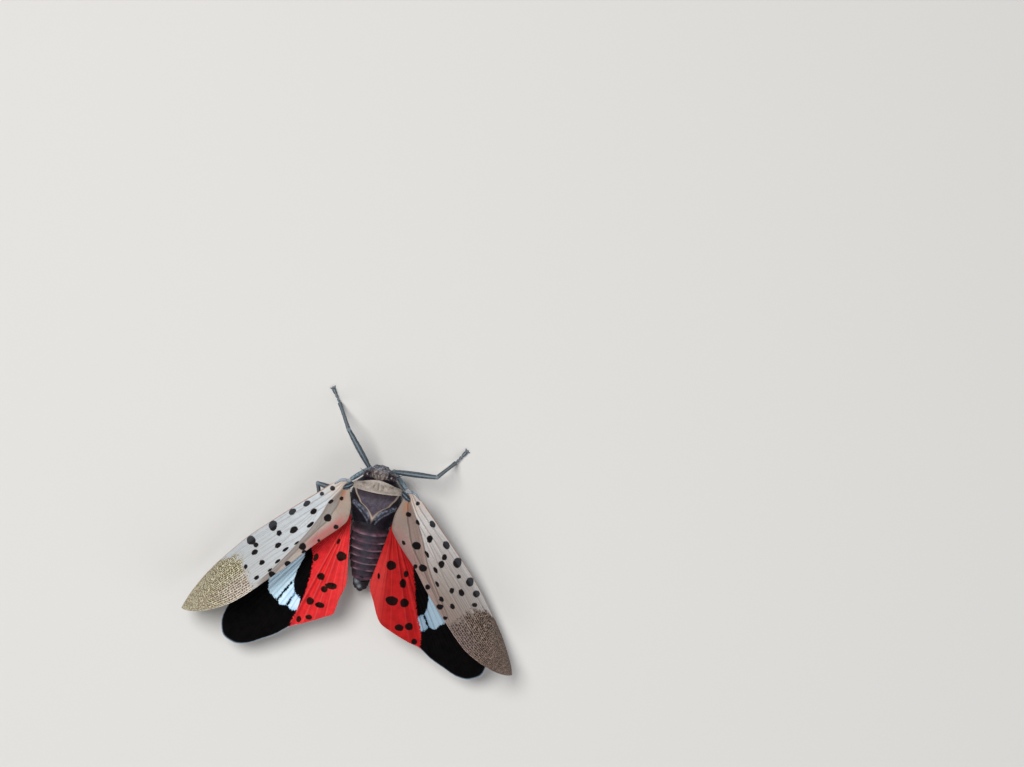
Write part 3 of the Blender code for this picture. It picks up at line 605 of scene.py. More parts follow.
# The hindwings
hindwing = {
    "root": (2.25, 1.35, 5.0),
    "start": 0.15,
    "turn": {"left": 0.0, "right": 4.4},  # degrees by which the whole fan is opened further
    # Reach from the root at angles from straight back, in degrees, inner margin first
    "innerReach": {
        "left": (
            (-7.0, 7.1), (-6.4, 7.6), (-2.5, 9.2), (-0.5, 10.8), (4.4, 11.4), (14.0, 12.9), (18.2, 13.8),
        ),
        "right": (
            (-14.5, 6.9), (-13.3, 7.4), (-8.0, 8.6), (-0.8, 10.9), (5.0, 11.7), (13.7, 13.0), (18.0, 13.8),
        ),
    },
    "outerReach": (
        (21.5, 15.2), (25.0, 16.5), (28.4, 17.9), (31.7, 18.67), (35.1, 18.88), (39.2, 18.1), (41.2, 17.2),
        (43.0, 15.9), (45.5, 12.8),
    ),
    "innerRays": {
        "left": (-7.0, -3.5, -0.5, 4.4, 8.6, 13.4, 18.2),
        "right": (-14.5, -8.0, -3.5, -0.8, 5.0, 13.7, 18.0),
    },
    "outerRays": (21.3, 24.3, 27.0, 29.8, 32.0, 34.2, 36.4, 38.5, 40.5, 42.5, 45.5),
    # How far the fan's folds stand up, as a share of the distance from the root
    "folds": {
        "left": (
            (-7.0, 0.0), (-2.5, 0.03), (3.5, -0.01), (8.6, 0.035), (11.0, 0.0), (13.4, 0.03), (16.0, -0.01),
            (18.3, 0.035), (22.0, 0.0), (30.0, 0.01), (38.0, 0.0), (45.5, 0.0),
        ),
        "right": (
            (-14.5, -0.02), (-3.5, 0.035), (5.0, 0.0), (13.7, 0.03), (17.0, 0.0), (19.5, 0.03), (25.0, 0.0),
            (45.5, 0.0),
        ),
    },
    # Height over the root at distances from it, along the leading and the inner margin
    "leadingRise": ((0.0, 0.0), (5.0, 0.1), (9.0, -0.25), (14.0, -0.8), (19.0, -1.8)),
    "innerRise": ((0.0, 0.0), (4.0, 0.35), (8.0, 0.1), (13.0, -1.0), (19.0, -2.4)),
    "membrane": 0.06,
    "veinHeight": 0.06,
    "rungPitch": 1.5,
    "spotSlant": 12.0,  # degrees from straight back that its long spots lie at
    "columns": 210,
    "rows": 210,
    # The angle where red meets black at distances from the root, and the white band's inner and outer reach
    "redEdge": {
        "left": (
            (5.2, 50.0), (5.7, 36.0), (6.1, 30.5), (6.7, 26.7), (8.4, 21.5), (10.2, 18.9), (12.3, 18.4),
            (17.0, 17.6),
        ),
        "right": (
            (4.2, 50.0), (4.6, 34.0), (5.9, 27.5), (7.3, 24.4), (9.3, 21.2), (10.8, 20.4), (12.2, 20.0),
            (13.6, 18.4), (17.0, 17.6),
        ),
    },
    "bandInner": (
        (18.5, 11.6), (20.0, 10.5), (25.0, 10.2), (29.4, 9.3), (33.2, 8.0), (36.7, 6.6), (45.5, 6.0),
    ),
    "bandOuter": (
        (18.5, 11.8), (21.4, 12.1), (24.3, 11.9), (27.5, 12.35), (29.8, 12.1), (33.4, 12.1), (36.5, 11.95),
        (39.3, 11.4), (45.5, 10.6),
    ),
    # Veins by angle: dark ones that part the white band, with their widths, then faint ones and fold crests
    "bandVeins": {"left": ((24.4, 0.15), (29.9, 0.16)), "right": ((24.4, 0.16),)},
    "paleVeins": (21.6, 27.2, 32.8, 36.2),
    "crests": {"left": (3.5, 8.6, 13.4, 18.3), "right": (-3.5, 5.0, 13.7, 19.5)},
    "spots": {
        "left": (
            (2.44, 6.03, 0.99, 0.93), (3.02, 4.55, 0.22, 0.56), (4.16, 8.51, 0.74, 0.69),
            (2.89, 9.29, 1.15, 0.65), (3.56, 9.76, 0.65, 0.6), (4.79, 11.26, 0.72, 0.72),
            (3.71, 11.49, 0.89, 0.53), (4.6, 12.96, 0.66, 0.5), (5.6, 13.36, 0.51, 0.62),
            (5.03, 6.64, 0.45, 0.8),
        ),
        "right": (
            (-2.91, 5.99, 0.95, 0.9), (-4.61, 6.59, 0.45, 0.64), (-4.48, 7.62, 0.63, 0.89),
            (-1.82, 7.32, 0.24, 0.59), (-3.66, 9.63, 1.24, 0.88), (-5.01, 9.6, 0.84, 0.84),
            (-5.94, 11.95, 0.76, 0.71), (-4.95, 12.26, 0.88, 0.62), (-6.78, 13.41, 0.58, 0.58),
        ),
    },
    # Colours for each side: the right fan's darker red, blue-white and brown are painted shade, as it lies
    # turned away from the light.
    "red": {"left": (0.62, 0.026, 0.030), "right": (0.36, 0.012, 0.013)},
    "pink": (0.78, 0.10, 0.09),
    # strength of the painted pink highlight along the fold crests, less on the shaded right fan
    "crestHighlight": {"left": 0.4, "right": 0.12},
    "black": (0.0016, 0.0013, 0.0015),
    "band": {"left": (0.60, 0.76, 0.90), "right": (0.27, 0.37, 0.46)},
    "bandShade": {"left": (0.38, 0.60, 0.82), "right": (0.17, 0.27, 0.37)},
    # painted light: a brighter blue-white on the band's outer part, against the forewing's shadow
    "bandOutside": {"left": (0.64, 0.86, 1.0), "right": (0.30, 0.41, 0.50)},
    "spot": (0.010, 0.004, 0.004),
    "spotBrown": {"left": (0.055, 0.018, 0.010), "right": (0.016, 0.005, 0.004)},
    "rim": (0.40, 0.50, 0.62),
}


def rayGap(rays, angle, distance):  # how far each point is from the nearest of some rays of the fan
    return np.radians(np.abs(np.reshape(rays, (-1, 1)) - angle).min(0)) * distance


def makeHindwing(side):
    piece, share, turn = startGrid("hindwing_" + side + "_fan", hindwing["columns"], hindwing["rows"])
    rays = np.array(hindwing["innerRays"][side] + hindwing["outerRays"])
    angle = rays[0] + (rays[-1] - rays[0]) * turn
    reach = along(hindwing["innerReach"][side] + hindwing["outerReach"], angle)
    distance = hindwing["start"] + (reach - hindwing["start"]) * share
    turned = np.radians(angle + hindwing["turn"][side])
    leading = along(hindwing["leadingRise"], distance)
    inner = along(hindwing["innerRise"], distance)
    fold = along(hindwing["folds"][side], angle)
    rise = inner + (leading - inner) * turn + fold * distance * (1 - 0.6 * share**3)
    offset = np.stack((np.sin(turned) * distance, np.cos(turned) * distance, rise), 1)
    points = mirrored(np.array(hindwing["root"]) + offset, side)
    # Raised veins
    vein = ridge(rayGap(rays, angle, distance), 0.07)
    fork = ridge(rayGap((rays[1:] + rays[:-1]) / 2, angle, distance), 0.05) * step(0.62, 0.8, share)
    across = distance / hindwing["rungPitch"] + 6 * scatter(np.searchsorted(rays, angle))
    rungGap = np.abs(across - np.round(across)) * hindwing["rungPitch"]
    rung = ridge(rungGap, 0.05) * step(0.35, 0.6, share) * 0.6
    margin = (1 - share) * (reach - hindwing["start"])
    cross = np.maximum.reduce((fork, rung, ridge(margin - 0.35, 0.05)))
    height = hindwing["veinHeight"] * vein + 0.025 * cross
    points[:, 2] += height + 0.03 * ripple(points, 1.3, 5.0) * step(0.0, 3.0, distance)
    movePoints(piece, points)
    # Marks for the finish
    inwards, outwards = along(hindwing["bandInner"], angle), along(hindwing["bandOuter"], angle)
    bandEdge = np.minimum(distance - inwards, outwards - distance)
    for ray, width in hindwing["bandVeins"][side]:
        half = width / 2 * (0.25 + 0.75 * step(8.5, 12.2, distance))
        bandEdge = np.minimum(bandEdge, rayGap(ray, angle, distance) - half)
    redEdge = np.radians(along(hindwing["redEdge"][side], distance) - angle) * distance
    crest = rayGap(hindwing["crests"][side], angle, distance)
    paint(
        piece,
        redEdge=np.clip(redEdge, -1, 1),
        bandEdge=np.clip(bandEdge, -1, 1),
        bandVein=ridge(rayGap(hindwing["paleVeins"], angle, distance), 0.06),
        # bandOutside: where the band is brightened against the forewing's shadow
        bandOutside=step(24.0, 30.0, angle),
        spotGap=spotDistance(seenFromAbove(points), hindwing["spots"][side], hindwing["spotSlant"]),
        vein=np.maximum(vein, cross * 0.5) * step(3.0, 8.0, distance),
        # fold: the fold crests, where a painted pink highlight goes
        fold=ridge(crest, 0.07) * step(1.0, 3.5, distance),
        rim=ridge(margin, 0.08) * step(14.0, 20.0, angle),
        inner=step(4.0, -6.0, angle) * step(1.5, 6.0, distance),
    )
    applyModifier(piece, "SOLIDIFY", thickness=hindwing["membrane"], offset=0.0)
    return settle(piece, hindwingFinish(side), ("hindwing_" + side,))


def hindwingFinish(side):
    look = surfaceLook("hindwingMembrane" + side.title(), 0.6, 0.02)
    # The side's colours; the right fan's are darkened with painted shade
    red, band, bandShade = (hindwing[key][side] for key in ("red", "band", "bandShade"))
    mottle = look.grain(0.7, 4.0, 0.6)
    fray = look.math(look.math(look.grain(0.24, 3.0, 0.7), 0.5, "SUBTRACT"), 0.2)
    colour = look.shades(mottle, red, 0.85, 1.12)
    # A painted pink highlight along the fold crests
    colour = look.coat(colour, "fold", hindwing["pink"], hindwing["crestHighlight"][side])
    colour = look.coat(colour, "inner", hindwing["pink"], 0.25)
    colour = look.coat(colour, "vein", shade(red, 0.55), 0.16)
    blackShare = look.ramp(look.plus(look.mark("redEdge"), fray), 0.06, -0.06)
    colour = look.coat(colour, blackShare, look.shades(mottle, hindwing["black"], 1.0, 1.8))
    frayed = look.plus(look.mark("bandEdge"), look.math(fray, 0.9))
    chalk = look.mix(look.math(look.ramp(frayed, 0.0, 0.3), look.plus(mottle, 0.35)), bandShade, band)
    # Painted light on the band's outer part, where the forewing's shadow falls
    chalk = look.coat(chalk, "bandOutside", hindwing["bandOutside"][side], 0.8)
    chalk = look.coat(chalk, "bandVein", shade(bandShade, 0.45), 0.45)
    colour = look.coat(colour, look.math(look.ramp(frayed, -0.04, 0.10), blackShare), chalk)
    soft = look.plus(look.mark("spotGap"), look.math(fray, 0.2))
    spot = look.mix(look.math(mottle, 0.6), hindwing["spot"], hindwing["spotBrown"][side])
    colour = look.coat(colour, look.ramp(soft, 0.035, -0.035), spot)
    colour = look.coat(colour, "rim", hindwing["rim"], 0.85)
    return look.finished(colour, look.grain(0.08, 2.0, 0.6), 0.01, 0.25)


# The trunk: collar, thorax, abdomen and tail
trunk = {
    "around": 150,
    "squareness": 2.3,
    "widest": 0.55,  # the height of the widest line of a section, from its bottom to its top
    "middle": 4.2,  # the height that both ends of a part close up to
    "spans": {"core": (-3.5, 7.9), "collar": (-2.62, -1.18), "thorax": (-1.3, 2.3), "abdomen": (1.9, 8.25)},
    # Half width, top, bottom and bow of each part along the trunk. The core is the skin under the plates.
    "coreWidth": (
        (-3.5, 0.8), (-3.0, 1.5), (-2.6, 1.9), (-1.9, 2.5), (-1.3, 2.6), (-0.9, 2.48), (0.0, 2.35),
        (1.5, 1.85), (2.1, 1.7), (5.0, 1.6), (7.9, 0.8),
    ),
    "coreTop": ((-3.5, 5.0), (-2.6, 5.6), (-1.5, 6.1), (0.0, 6.1), (2.0, 5.3), (4.0, 4.8), (7.9, 3.4)),
    "coreBottom": ((-3.5, 3.5), (-2.6, 3.1), (0.0, 2.8), (2.1, 2.7), (4.0, 2.3), (7.9, 2.1)),
    "coreBow": ((-3.5, 0.0), (7.9, 0.0)),
    "collarWidth": ((-2.62, 1.8), (-2.35, 2.42), (-1.8, 2.75), (-1.35, 2.8), (-1.18, 2.75)),
    "collarTop": ((-2.62, 6.0), (-2.35, 6.33), (-1.8, 6.52), (-1.35, 6.58), (-1.18, 6.54)),
    "collarBottom": ((-2.62, 2.95), (-2.35, 2.77), (-1.18, 2.7)),
    "collarBow": ((-2.62, 0.14), (-2.35, 0.045), (-1.8, -0.01), (-1.18, -0.028)),
    "collarKeel": -0.12,
    "thoraxWidth": (
        (-1.3, 2.35), (-0.97, 2.58), (-0.4, 2.7), (0.4, 2.58), (1.2, 2.28), (1.85, 2.03), (2.3, 1.85),
    ),
    "thoraxTop": (
        (-1.3, 6.15), (-0.97, 6.3), (-0.4, 6.48), (0.4, 6.42), (1.2, 6.05), (1.85, 5.68), (2.3, 5.35),
    ),
    "thoraxBottom": ((-1.3, 2.75), (-0.4, 2.57), (0.4, 2.47), (1.2, 2.5), (2.3, 2.65)),
    "thoraxBow": ((-1.3, -0.07), (-0.4, -0.05), (0.4, 0.0), (2.3, 0.0)),
    # The scutellum's half width from front to tip, which the tan lines follow
    "shieldEdge": (
        (-1.7, 2.4), (-1.1, 2.2), (-0.85, 2.08), (-0.3, 1.68), (0.0, 1.5), (0.4, 0.93), (0.83, 0.47),
        (1.3, 0.15), (1.6, -0.02), (2.4, -0.4),
    ),
    # Two ridges beside it, from the wing's root inwards
    "broadRidge": ((2.2, 0.05), (1.75, 0.35), (1.05, 0.68), (0.58, 1.1), (0.27, 1.5)),
    "thinRidge": ((2.3, 0.2), (1.9, 0.5), (1.4, 0.89), (0.9, 1.32), (0.52, 1.77), (0.4, 2.06)),
    "rings": (2.12, 3.4, 4.25, 5.05, 5.8, 6.5, 7.2, 8.1),  # where each ring of the abdomen starts
    "abdomenWidth": ((1.9, 1.85), (2.1, 1.95), (3.6, 2.08), (5.2, 1.95), (6.6, 1.6), (8.1, 1.02), (8.5, 0.8)),
    "abdomenTop": ((1.9, 5.7), (2.1, 5.68), (4.0, 5.25), (6.0, 4.6), (8.1, 3.75), (8.5, 3.6)),
    "abdomenBottom": ((1.9, 2.5), (2.1, 2.45), (4.0, 2.0), (6.0, 1.75), (8.1, 1.85), (8.5, 1.9)),
    "abdomenBow": ((1.9, -0.08), (8.5, -0.08)),
    # The tail's pieces: centres and radii, and how far each lobe is turned
    "tailBase": ((0, 8.0, 2.95), (0, 8.6, 2.72), (0, 9.1, 2.62)),
    "tailRadii": (0.85, 0.78, 0.55),
    "tailTip": ((0.0, 9.05, 2.6), (0.42, 0.42, 0.4)),
    "tailLobes": (((0.48, 8.62, 2.9), (0.34, 0.62, 0.38), 0.25), ((0.62, 8.25, 3.05), (0.28, 0.4, 0.3), 0.2)),
    "tan": (0.315, 0.27, 0.235),
    # tanDark: the dark of the sunken pits, partly painted shade
    "tanDark": (0.05, 0.036, 0.032),
    "tanPale": (0.72, 0.64, 0.59),
    "shieldGrey": (0.060, 0.050, 0.068),
    # painted shade on the disc near the collar's rear edge
    "shadeBelowCollar": (0.022, 0.014, 0.018),
    "veeLine": (0.54, 0.42, 0.34),
    # blue-grey of the ridges beside the disc; on the ridges it also stands for painted glints
    "lobeGrey": (0.17, 0.19, 0.25),
    "chitin": (0.0045, 0.0035, 0.006),
    "plum": (0.024, 0.015, 0.022),
    # ringEdge: the rings' purple, partly painted sheen. ringLipHighlight: a painted highlight along each
    # ring's lip
    "ringEdge": (0.17, 0.070, 0.102),
    "ringLipHighlight": (0.42, 0.29, 0.33),
    "spineBlue": (0.026, 0.030, 0.045),
    "wax": (0.40, 0.46, 0.53),
    "tailTufts": ((0.5, 8.35, 0.28), (0.1, 8.9, 0.2)),  # across, along, size
    "tailDark": (0.014, 0.009, 0.012),
}


def stationAt(part, run):  # how far back each share along a part of the trunk lies
    front, back = trunk["spans"][part]
    return front + (back - front) * run


def sectionAt(part, angle, y, flare=1.0):  # points of a part's squarish section at y, widened by flare
    halfWidth, top, bottom, bow = (along(trunk[part + key], y) for key in ("Width", "Top", "Bottom", "Bow"))
    middle, half = (top + bottom) / 2, (top - bottom) / 2 * flare
    top, bottom = middle + half, middle - half
    widest = bottom + (top - bottom) * trunk["widest"]
    c, s = np.cos(angle), np.sin(angle)
    power = 2 / trunk["squareness"]
    x = halfWidth * flare * np.sign(c) * np.abs(c) ** power
    rise = np.where(s > 0, top - widest, widest - bottom)
    return np.stack((x, y + bow * x * x, widest + rise * np.sign(s) * np.abs(s) ** power), 1)


def drawnIn(points, run, share):  # closes the skin of a part by shrinking the rows near both its ends
    low, high = np.clip(run / share, 0, 1), np.clip((1 - run) / share, 0, 1)
    size = np.minimum(np.sqrt(1 - (1 - low) ** 2), np.sqrt(1 - (1 - high) ** 2))
    middle = np.array((0.0, 0.0, trunk["middle"]))
    flat = middle + (points - middle) * size[:, None]
    flat[:, 1] = points[:, 1]
    return flat


def makeCore():
    def ringAt(run, angle):
        return drawnIn(sectionAt("core", angle, stationAt("core", run)), run, 0.03), {}

    return settle(rolledTube("innerSkin", 60, 48, ringAt), chitinFinish())


def makeCollar():
    def ringAt(run, angle):
        points = sectionAt("collar", angle, stationAt("collar", run))
        over = step(0.1, 0.7, np.sin(angle))
        x, y = points[:, 0], points[:, 1]
        off = np.abs(x - trunk["collarKeel"])
        arc = ridge(np.hypot(off - 0.2, y + 1.9) - 0.3, 0.06) * step(0.25, 0.5, off)
        pit = np.maximum(0.8 * arc, ridge(off, 0.06) * step(-2.5, -2.3, y) * step(-1.5, -1.7, y))
        sidePit = ridge(np.hypot((np.abs(x) - 1.52) * 0.8, (y + 2.1) * 1.5), 0.2)
        keel = ridge(off - 0.1, 0.07)
        brim = np.maximum(ridge(run - 0.06, 0.08), 0.5 * ridge(run - 0.95, 0.04))
        lift = 0.04 * keel - 0.09 * pit - 0.08 * sidePit
        lift += 0.05 * (ridge(run - 0.13, 0.07) + ridge(run - 0.86, 0.07))
        lift += 0.035 * ripple(points, 0.45) + 0.015 * ripple(points, 0.17, 3.0)
        points[:, 2] += lift * over
        points = drawnIn(points, run, 0.05)
        # pit marks the dents, which the finish paints darker: partly painted shade
        marks = {"pit": np.maximum(pit, 0.7 * sidePit), "brim": brim, "keel": keel}
        return points, {**marks, "tanTop": step(4.9, 5.5, points[:, 2])}

    collar = rolledTube("collarPlate", 60, trunk["around"], ringAt)
    return settle(collar, collarFinish(), ("pronotum",))


def collarFinish():
    look = surfaceLook("tanCollar", 0.55, 0.3)
    mottle = look.grain(0.5, 5.0, 0.65)
    tan = look.shades(mottle, trunk["tan"], 0.75, 1.3)
    tan = look.coat(tan, look.grain(0.2, 4.0, 0.75, 0.42, 0.6), shade(trunk["tan"], 0.55), 0.6)
    tan = look.coat(tan, "brim", trunk["tanPale"], 0.85)
    tan = look.coat(tan, "keel", trunk["tanPale"], 0.15)
    # Darker in the sunken pits and groove: partly painted shade of these dents
    tan = look.coat(tan, "pit", trunk["tanDark"], 0.85)
    under = look.mix(mottle, trunk["chitin"], shade(trunk["lobeGrey"], 0.6))
    return look.finished(look.coat(under, "tanTop", tan), look.grain(0.07, 2.0, 0.6), 0.02)


def makeThorax():
    def ringAt(run, angle):
        points = sectionAt("thorax", angle, stationAt("thorax", run))
        over = step(0.05, 0.5, np.sin(angle))
        plan = seenFromAbove(points)
        x, y = np.abs(plan[:, 0]), plan[:, 1]
        edge = along(trunk["shieldEdge"], y)
        past = (x - edge) * 0.75
        shield = step(0.06, -0.12, past)
        line = ridge(past, 0.06 + 0.05 * step(0.7, 1.9, y))
        # The two ridges, painted paler in the finish: partly their grey and partly painted glints
        lobe = ridge(lineGap(plan, trunk["broadRidge"]), 0.17)
        lobe = np.maximum(lobe, 0.8 * ridge(lineGap(plan, trunk["thinRidge"]), 0.09))
        # Painted shade: the disc darkens towards the collar's rear edge
        shadeBelowCollar = step(-0.3, -1.0, y) * shield
        tongue = ridge(plan[:, 0] - 0.05, 0.11) * step(1.45, 1.7, y)
        groove = step(0.12, 0.3, past) * (1 - lobe)
        fold = ridge(x - 0.55 * edge, 0.1) * shield
        lift = 0.30 * shield + 0.07 * line + 0.12 * lobe + 0.12 * tongue - 0.08 * groove - 0.05 * fold
        lift += 0.02 * ripple(points, 0.35) + 0.012 * ripple(points, 0.13, 4.0)
        points[:, 2] += lift * over
        marks = {"shield": np.maximum(shield, 0.8 * tongue) * over, "line": line * over, "lobe": lobe * over}
        return drawnIn(points, run, 0.04), {**marks, "side": 1 - over, "shadeBelowCollar": shadeBelowCollar}

    thorax = rolledTube("thoraxPlates", 130, 190, ringAt)
    return settle(thorax, thoraxFinish(), ("thorax",))


def thoraxFinish():
    look = surfaceLook("scutellumAndSides", 0.42, 0.1)
    mottle = look.grain(0.4, 5.0, 0.65)
    colour = look.shades(mottle, trunk["chitin"], 1.0, 2.4)
    colour = look.coat(colour, look.math(look.mark("side"), mottle), shade(trunk["lobeGrey"], 0.7), 0.5)
    # Pale patches on the ridges: partly their blue-grey and partly painted glints
    worn = look.plus(look.grain(0.3, 5.0, 0.75, 0.42, 0.6), 0.15)
    colour = look.coat(colour, look.math(look.mark("lobe"), worn), trunk["lobeGrey"])
    # The disc's grey, with painted shade near the collar
    disc = look.coat(look.shades(mottle, trunk["shieldGrey"], 0.65, 1.45), "shadeBelowCollar", trunk["shadeBelowCollar"], 0.65)
    colour = look.coat(look.coat(colour, "shield", disc), "line", trunk["veeLine"], 0.9)
    return look.finished(colour, look.grain(0.06, 2.0, 0.6), 0.02)


def makeAbdomen():
    rings = np.array(trunk["rings"])

    def ringAt(run, angle):
        y = stationAt("abdomen", run)
        k = np.clip(np.searchsorted(rings, y, side="right") - 1, 0, len(rings) - 2)
        within = np.clip((y - rings[k]) / (rings[k + 1] - rings[k]), 0, 1)
        flare = 0.905 + 0.095 * within**0.8 - 0.05 * step(0.93, 1.0, within)
        points = sectionAt("abdomen", angle, y, flare)
        over = step(-0.1, 0.4, np.sin(angle))
        crease = 0.035 * np.sin(points[:, 0] * 1.3) * np.sin(within * 9.0)
        keel = ridge(points[:, 0], 0.25) * 0.05
        points[:, 2] += (crease + keel) * over + 0.02 * ripple(points, 0.3)
        points[:, 0] *= 1 - 0.035 * ridge(np.sin(angle) + 0.12, 0.16)
        points = drawnIn(points, run, 0.03)
        # Uneven strength for the purple ring edges, which are partly painted sheen
        worn = 0.35 + 0.65 * np.clip(0.55 + 0.45 * ripple(points, 0.7, 2.0), 0, 1)
        return points, {
            # edge: purple, partly painted sheen; lipHighlight: a painted highlight along each lip, on the top
            # only
            "edge": np.maximum(step(0.55, 0.85, within), 0.35 * step(0.1, 0.6, within)) * worn,
            "lipHighlight": ridge(within - 0.9, 0.09) * np.clip(ripple(points, 0.5, 9.0) + 0.35, 0, 1) * over,
            "spine": ridge(points[:, 0], 0.55) * over,
            "side": 1 - over,
            "first": step(3.25, 2.7, y),
        }

    abdomen = rolledTube("abdomenRings", 190, 130, ringAt)
    return settle(abdomen, abdomenFinish(), ("abdomen",))


def abdomenFinish():
    look = surfaceLook("plumRings", 0.42, 0.12)
    mottle = look.grain(0.35, 5.0, 0.65)
    colour = look.shades(mottle, trunk["plum"], 0.6, 1.6)
    # The purple ring edges, partly painted sheen, and a painted highlight along each lip
    colour = look.coat(colour, "edge", look.shades(mottle, trunk["ringEdge"], 0.6, 1.15), 0.9)
    colour = look.coat(colour, "lipHighlight", trunk["ringLipHighlight"], 0.6)
    colour = look.coat(colour, "spine", trunk["spineBlue"], 0.6)
    colour = look.coat(colour, "first", trunk["chitin"], 0.75)
    colour = look.coat(colour, look.math(look.mark("side"), mottle), shade(trunk["wax"], 0.55), 0.65)
    return look.finished(colour, look.grain(0.06, 2.0, 0.6), 0.02)


def makeTail():
    pieces = [pipe("tailBase", trunk["tailBase"], trunk["tailRadii"], 40, 40)]
    pieces.append(ball("tailTip", *trunk["tailTip"]))
    for side in (1, -1):
        for (x, y, z), radii, turn in trunk["tailLobes"]:
            pieces.append(ball("tailLobe", (x * side, y, z), radii, (0, 0, turn * side)))
    tail = merged(pieces, "tailPieces", 0.05, 4)
    points = pointsOf(tail)
    points[:, 2] += 0.04 * ripple(points, 0.18, 1.0)
    points[:, 0] += 0.03 * ripple(points, 0.16, 6.0)
    movePoints(tail, points)
    tufts = [ridge(np.hypot(points[:, 0] - x, points[:, 1] - y), size) for x, y, size in trunk["tailTufts"]]
    paint(tail, waxy=np.clip(sum(tufts), 0, 1) * step(2.4, 2.9, points[:, 2]))
    finish = waxFinish("tailWax", shade(trunk["wax"], 0.5), trunk["tailDark"], (0.25, 0.6))
    return settle(tail, finish, ("tail",))


def chitinFinish():
    look = surfaceLook("darkChitin", 0.4, 0.12)
    colour = look.shades(look.grain(0.4, 4.0, 0.6), trunk["chitin"], 1.0, 2.2)
    return look.finished(colour, look.grain(0.06, 2.0, 0.6), 0.02)


def waxFinish(name, pale, dark, cover=(0.35, 0.65)):  # a bloom that is patchy, and lies where waxy is painted
    look = surfaceLook(name, 0.62, 0.2)
    waxy = look.mark("waxy")
    powder = look.grain(0.05, 2.0, 0.7)
    colour = look.mix(look.math(waxy, look.plus(look.grain(0.32, 6.0, 0.7, *cover), 0.4)), dark, pale)
    colour = look.coat(colour, look.math(powder, waxy), shade(pale, 0.5), 0.25)
    return look.finished(colour, powder, 0.02, 0.6)


# The head with its eyes, feelers and beak
head = {
    # Centre and radii of each rounded form
    "skull": ((0.0, -3.25, 4.75), (1.18, 0.92, 1.12)),
    "frons": ((0.0, -3.66, 4.15), (0.76, 0.5, 1.12)),
    "clypeus": ((0.0, -3.48, 3.2), (0.48, 0.42, 0.72)),
    "neck": ((0.0, -2.75, 4.4), (1.3, 0.6, 1.25)),
    "cheek": ((0.78, -3.3, 4.1), (0.48, 0.55, 0.72)),
    "socket": ((0.95, -3.0, 4.92), (0.5, 0.56, 0.56)),
    "crownRim": ((0.62, -2.85, 5.82), (0.86, -3.35, 5.68), (0.7, -3.95, 5.22), (0.42, -4.12, 4.7)),
    "rimRadii": (0.12, 0.14, 0.14, 0.1),
    "voxel": 0.05,
    "eye": ((1.3, -2.98, 4.98), (0.52, 0.5, 0.56)),
    "eyeColour": (0.013, 0.0065, 0.011),
    "crown": ((-4.1, 0.35), (-3.83, 0.52), (-3.0, 0.88), (-2.5, 0.85)),  # its half width from front to back
    "crownDark": (0.022, 0.018, 0.02),
    "crownPale": (0.27, 0.225, 0.205),
    "sideGrey": (0.07, 0.058, 0.062),
    "frontWax": (0.27, 0.30, 0.39),
    "scape": ((1.15, -3.1, 4.05), (0.22, 0.2, 0.2)),
    "knob": ((1.48, -3.08, 3.95), (0.3, 0.25, 0.25)),
    "knobColour": (0.62, 0.13, 0.035),
    "bristle": ((1.66, -3.14, 3.96), (1.98, -3.28, 3.98), (2.3, -3.45, 4.0)),
    "bristleRadii": (0.08, 0.035, 0.015),
    "beak": ((0, -3.35, 2.9), (0, -3.0, 2.25), (0, -2.4, 1.88), (0, 0.0, 1.73), (0, 2.55, 1.62)),
    "beakRadii": (0.34, 0.27, 0.24, 0.2, 0.07),
}


def makeHead():
    parts = [ball(key, *head[key]) for key in ("skull", "frons", "clypeus", "neck")]
    for key in ("cheek", "socket"):
        centre, radii = head[key]
        parts += [ball(key, mirrored(centre, side), radii) for side in sides]
    for side in sides:
        parts.append(pipe("crownRim", mirrored(head["crownRim"], side), head["rimRadii"], 24, 12))
    skull = merged(parts, "headCapsule", head["voxel"], 6)
    points = pointsOf(skull)
    x, y, z = points.T
    crown = step(5.2, 5.6, z)
    front = step(-3.3, -3.8, y)
    points[:, 2] -= crown * 0.12 * ridge(np.hypot(x, (y + 3.4) * 0.9), 0.5)
    points[:, 2] += crown * 0.06 * ridge(x, 0.07)
    points[:, 1] -= front * (0.05 * ridge(np.abs(x) - 0.28, 0.06) + 0.05 * ridge(x, 0.05))
    points += 0.02 * ripple(points, 0.22)[:, None]
    movePoints(skull, points)
    paint(
        skull,
        crown=crown * step(0.1, -0.1, np.abs(x) - along(head["crown"], y)),
        keel=ridge(x, 0.12) * crown + ridge(np.abs(x) - 0.72, 0.14) * crown,
        front=front,
        streak=0.5 + 0.5 * np.sin(x * 15 + 3.5 * ripple(points, 0.35)),
    )
    return settle(skull, headFinish(), ("head",))


def headFinish():
    look = surfaceLook("headCapsule", 0.45, 0.15)
    mottle = look.grain(0.22, 5.0, 0.75, 0.4, 0.6)
    streaks = look.math(mottle, look.plus(look.mark("streak"), 0.25))
    crown = look.mix(streaks, head["crownDark"], head["crownPale"])
    colour = look.coat(look.mix(mottle, trunk["chitin"], head["sideGrey"]), "crown", crown)
    colour = look.coat(colour, "keel", head["crownPale"], 0.25)
    flecks = look.math(look.grain(0.2, 4.0, 0.7, 0.48, 0.58), look.mark("front"))
    colour = look.coat(colour, flecks, head["frontWax"], 0.9)
    return look.finished(colour, look.grain(0.05, 2.0, 0.6), 0.02)


def makeEye(side):
    centre, radii = head["eye"]
    piece = ball("eyeGlobe_" + side, mirrored(centre, side), radii, segments=64, rings=40)
    look = surfaceLook("eyeFacets" + side.title(), 0.3)
    look.shader.inputs["Coat Weight"].default_value = 0.15
    look.shader.inputs["Coat Roughness"].default_value = 0.12
    colour = look.shades(look.grain(0.25, 3.0), head["eyeColour"], 1.0, 2.0)
    facets = look.grain(0.045, kind="cells", low=0.0, high=0.7)
    return settle(piece, look.finished(colour, facets, 0.012, 0.6), ("eye_" + side,))


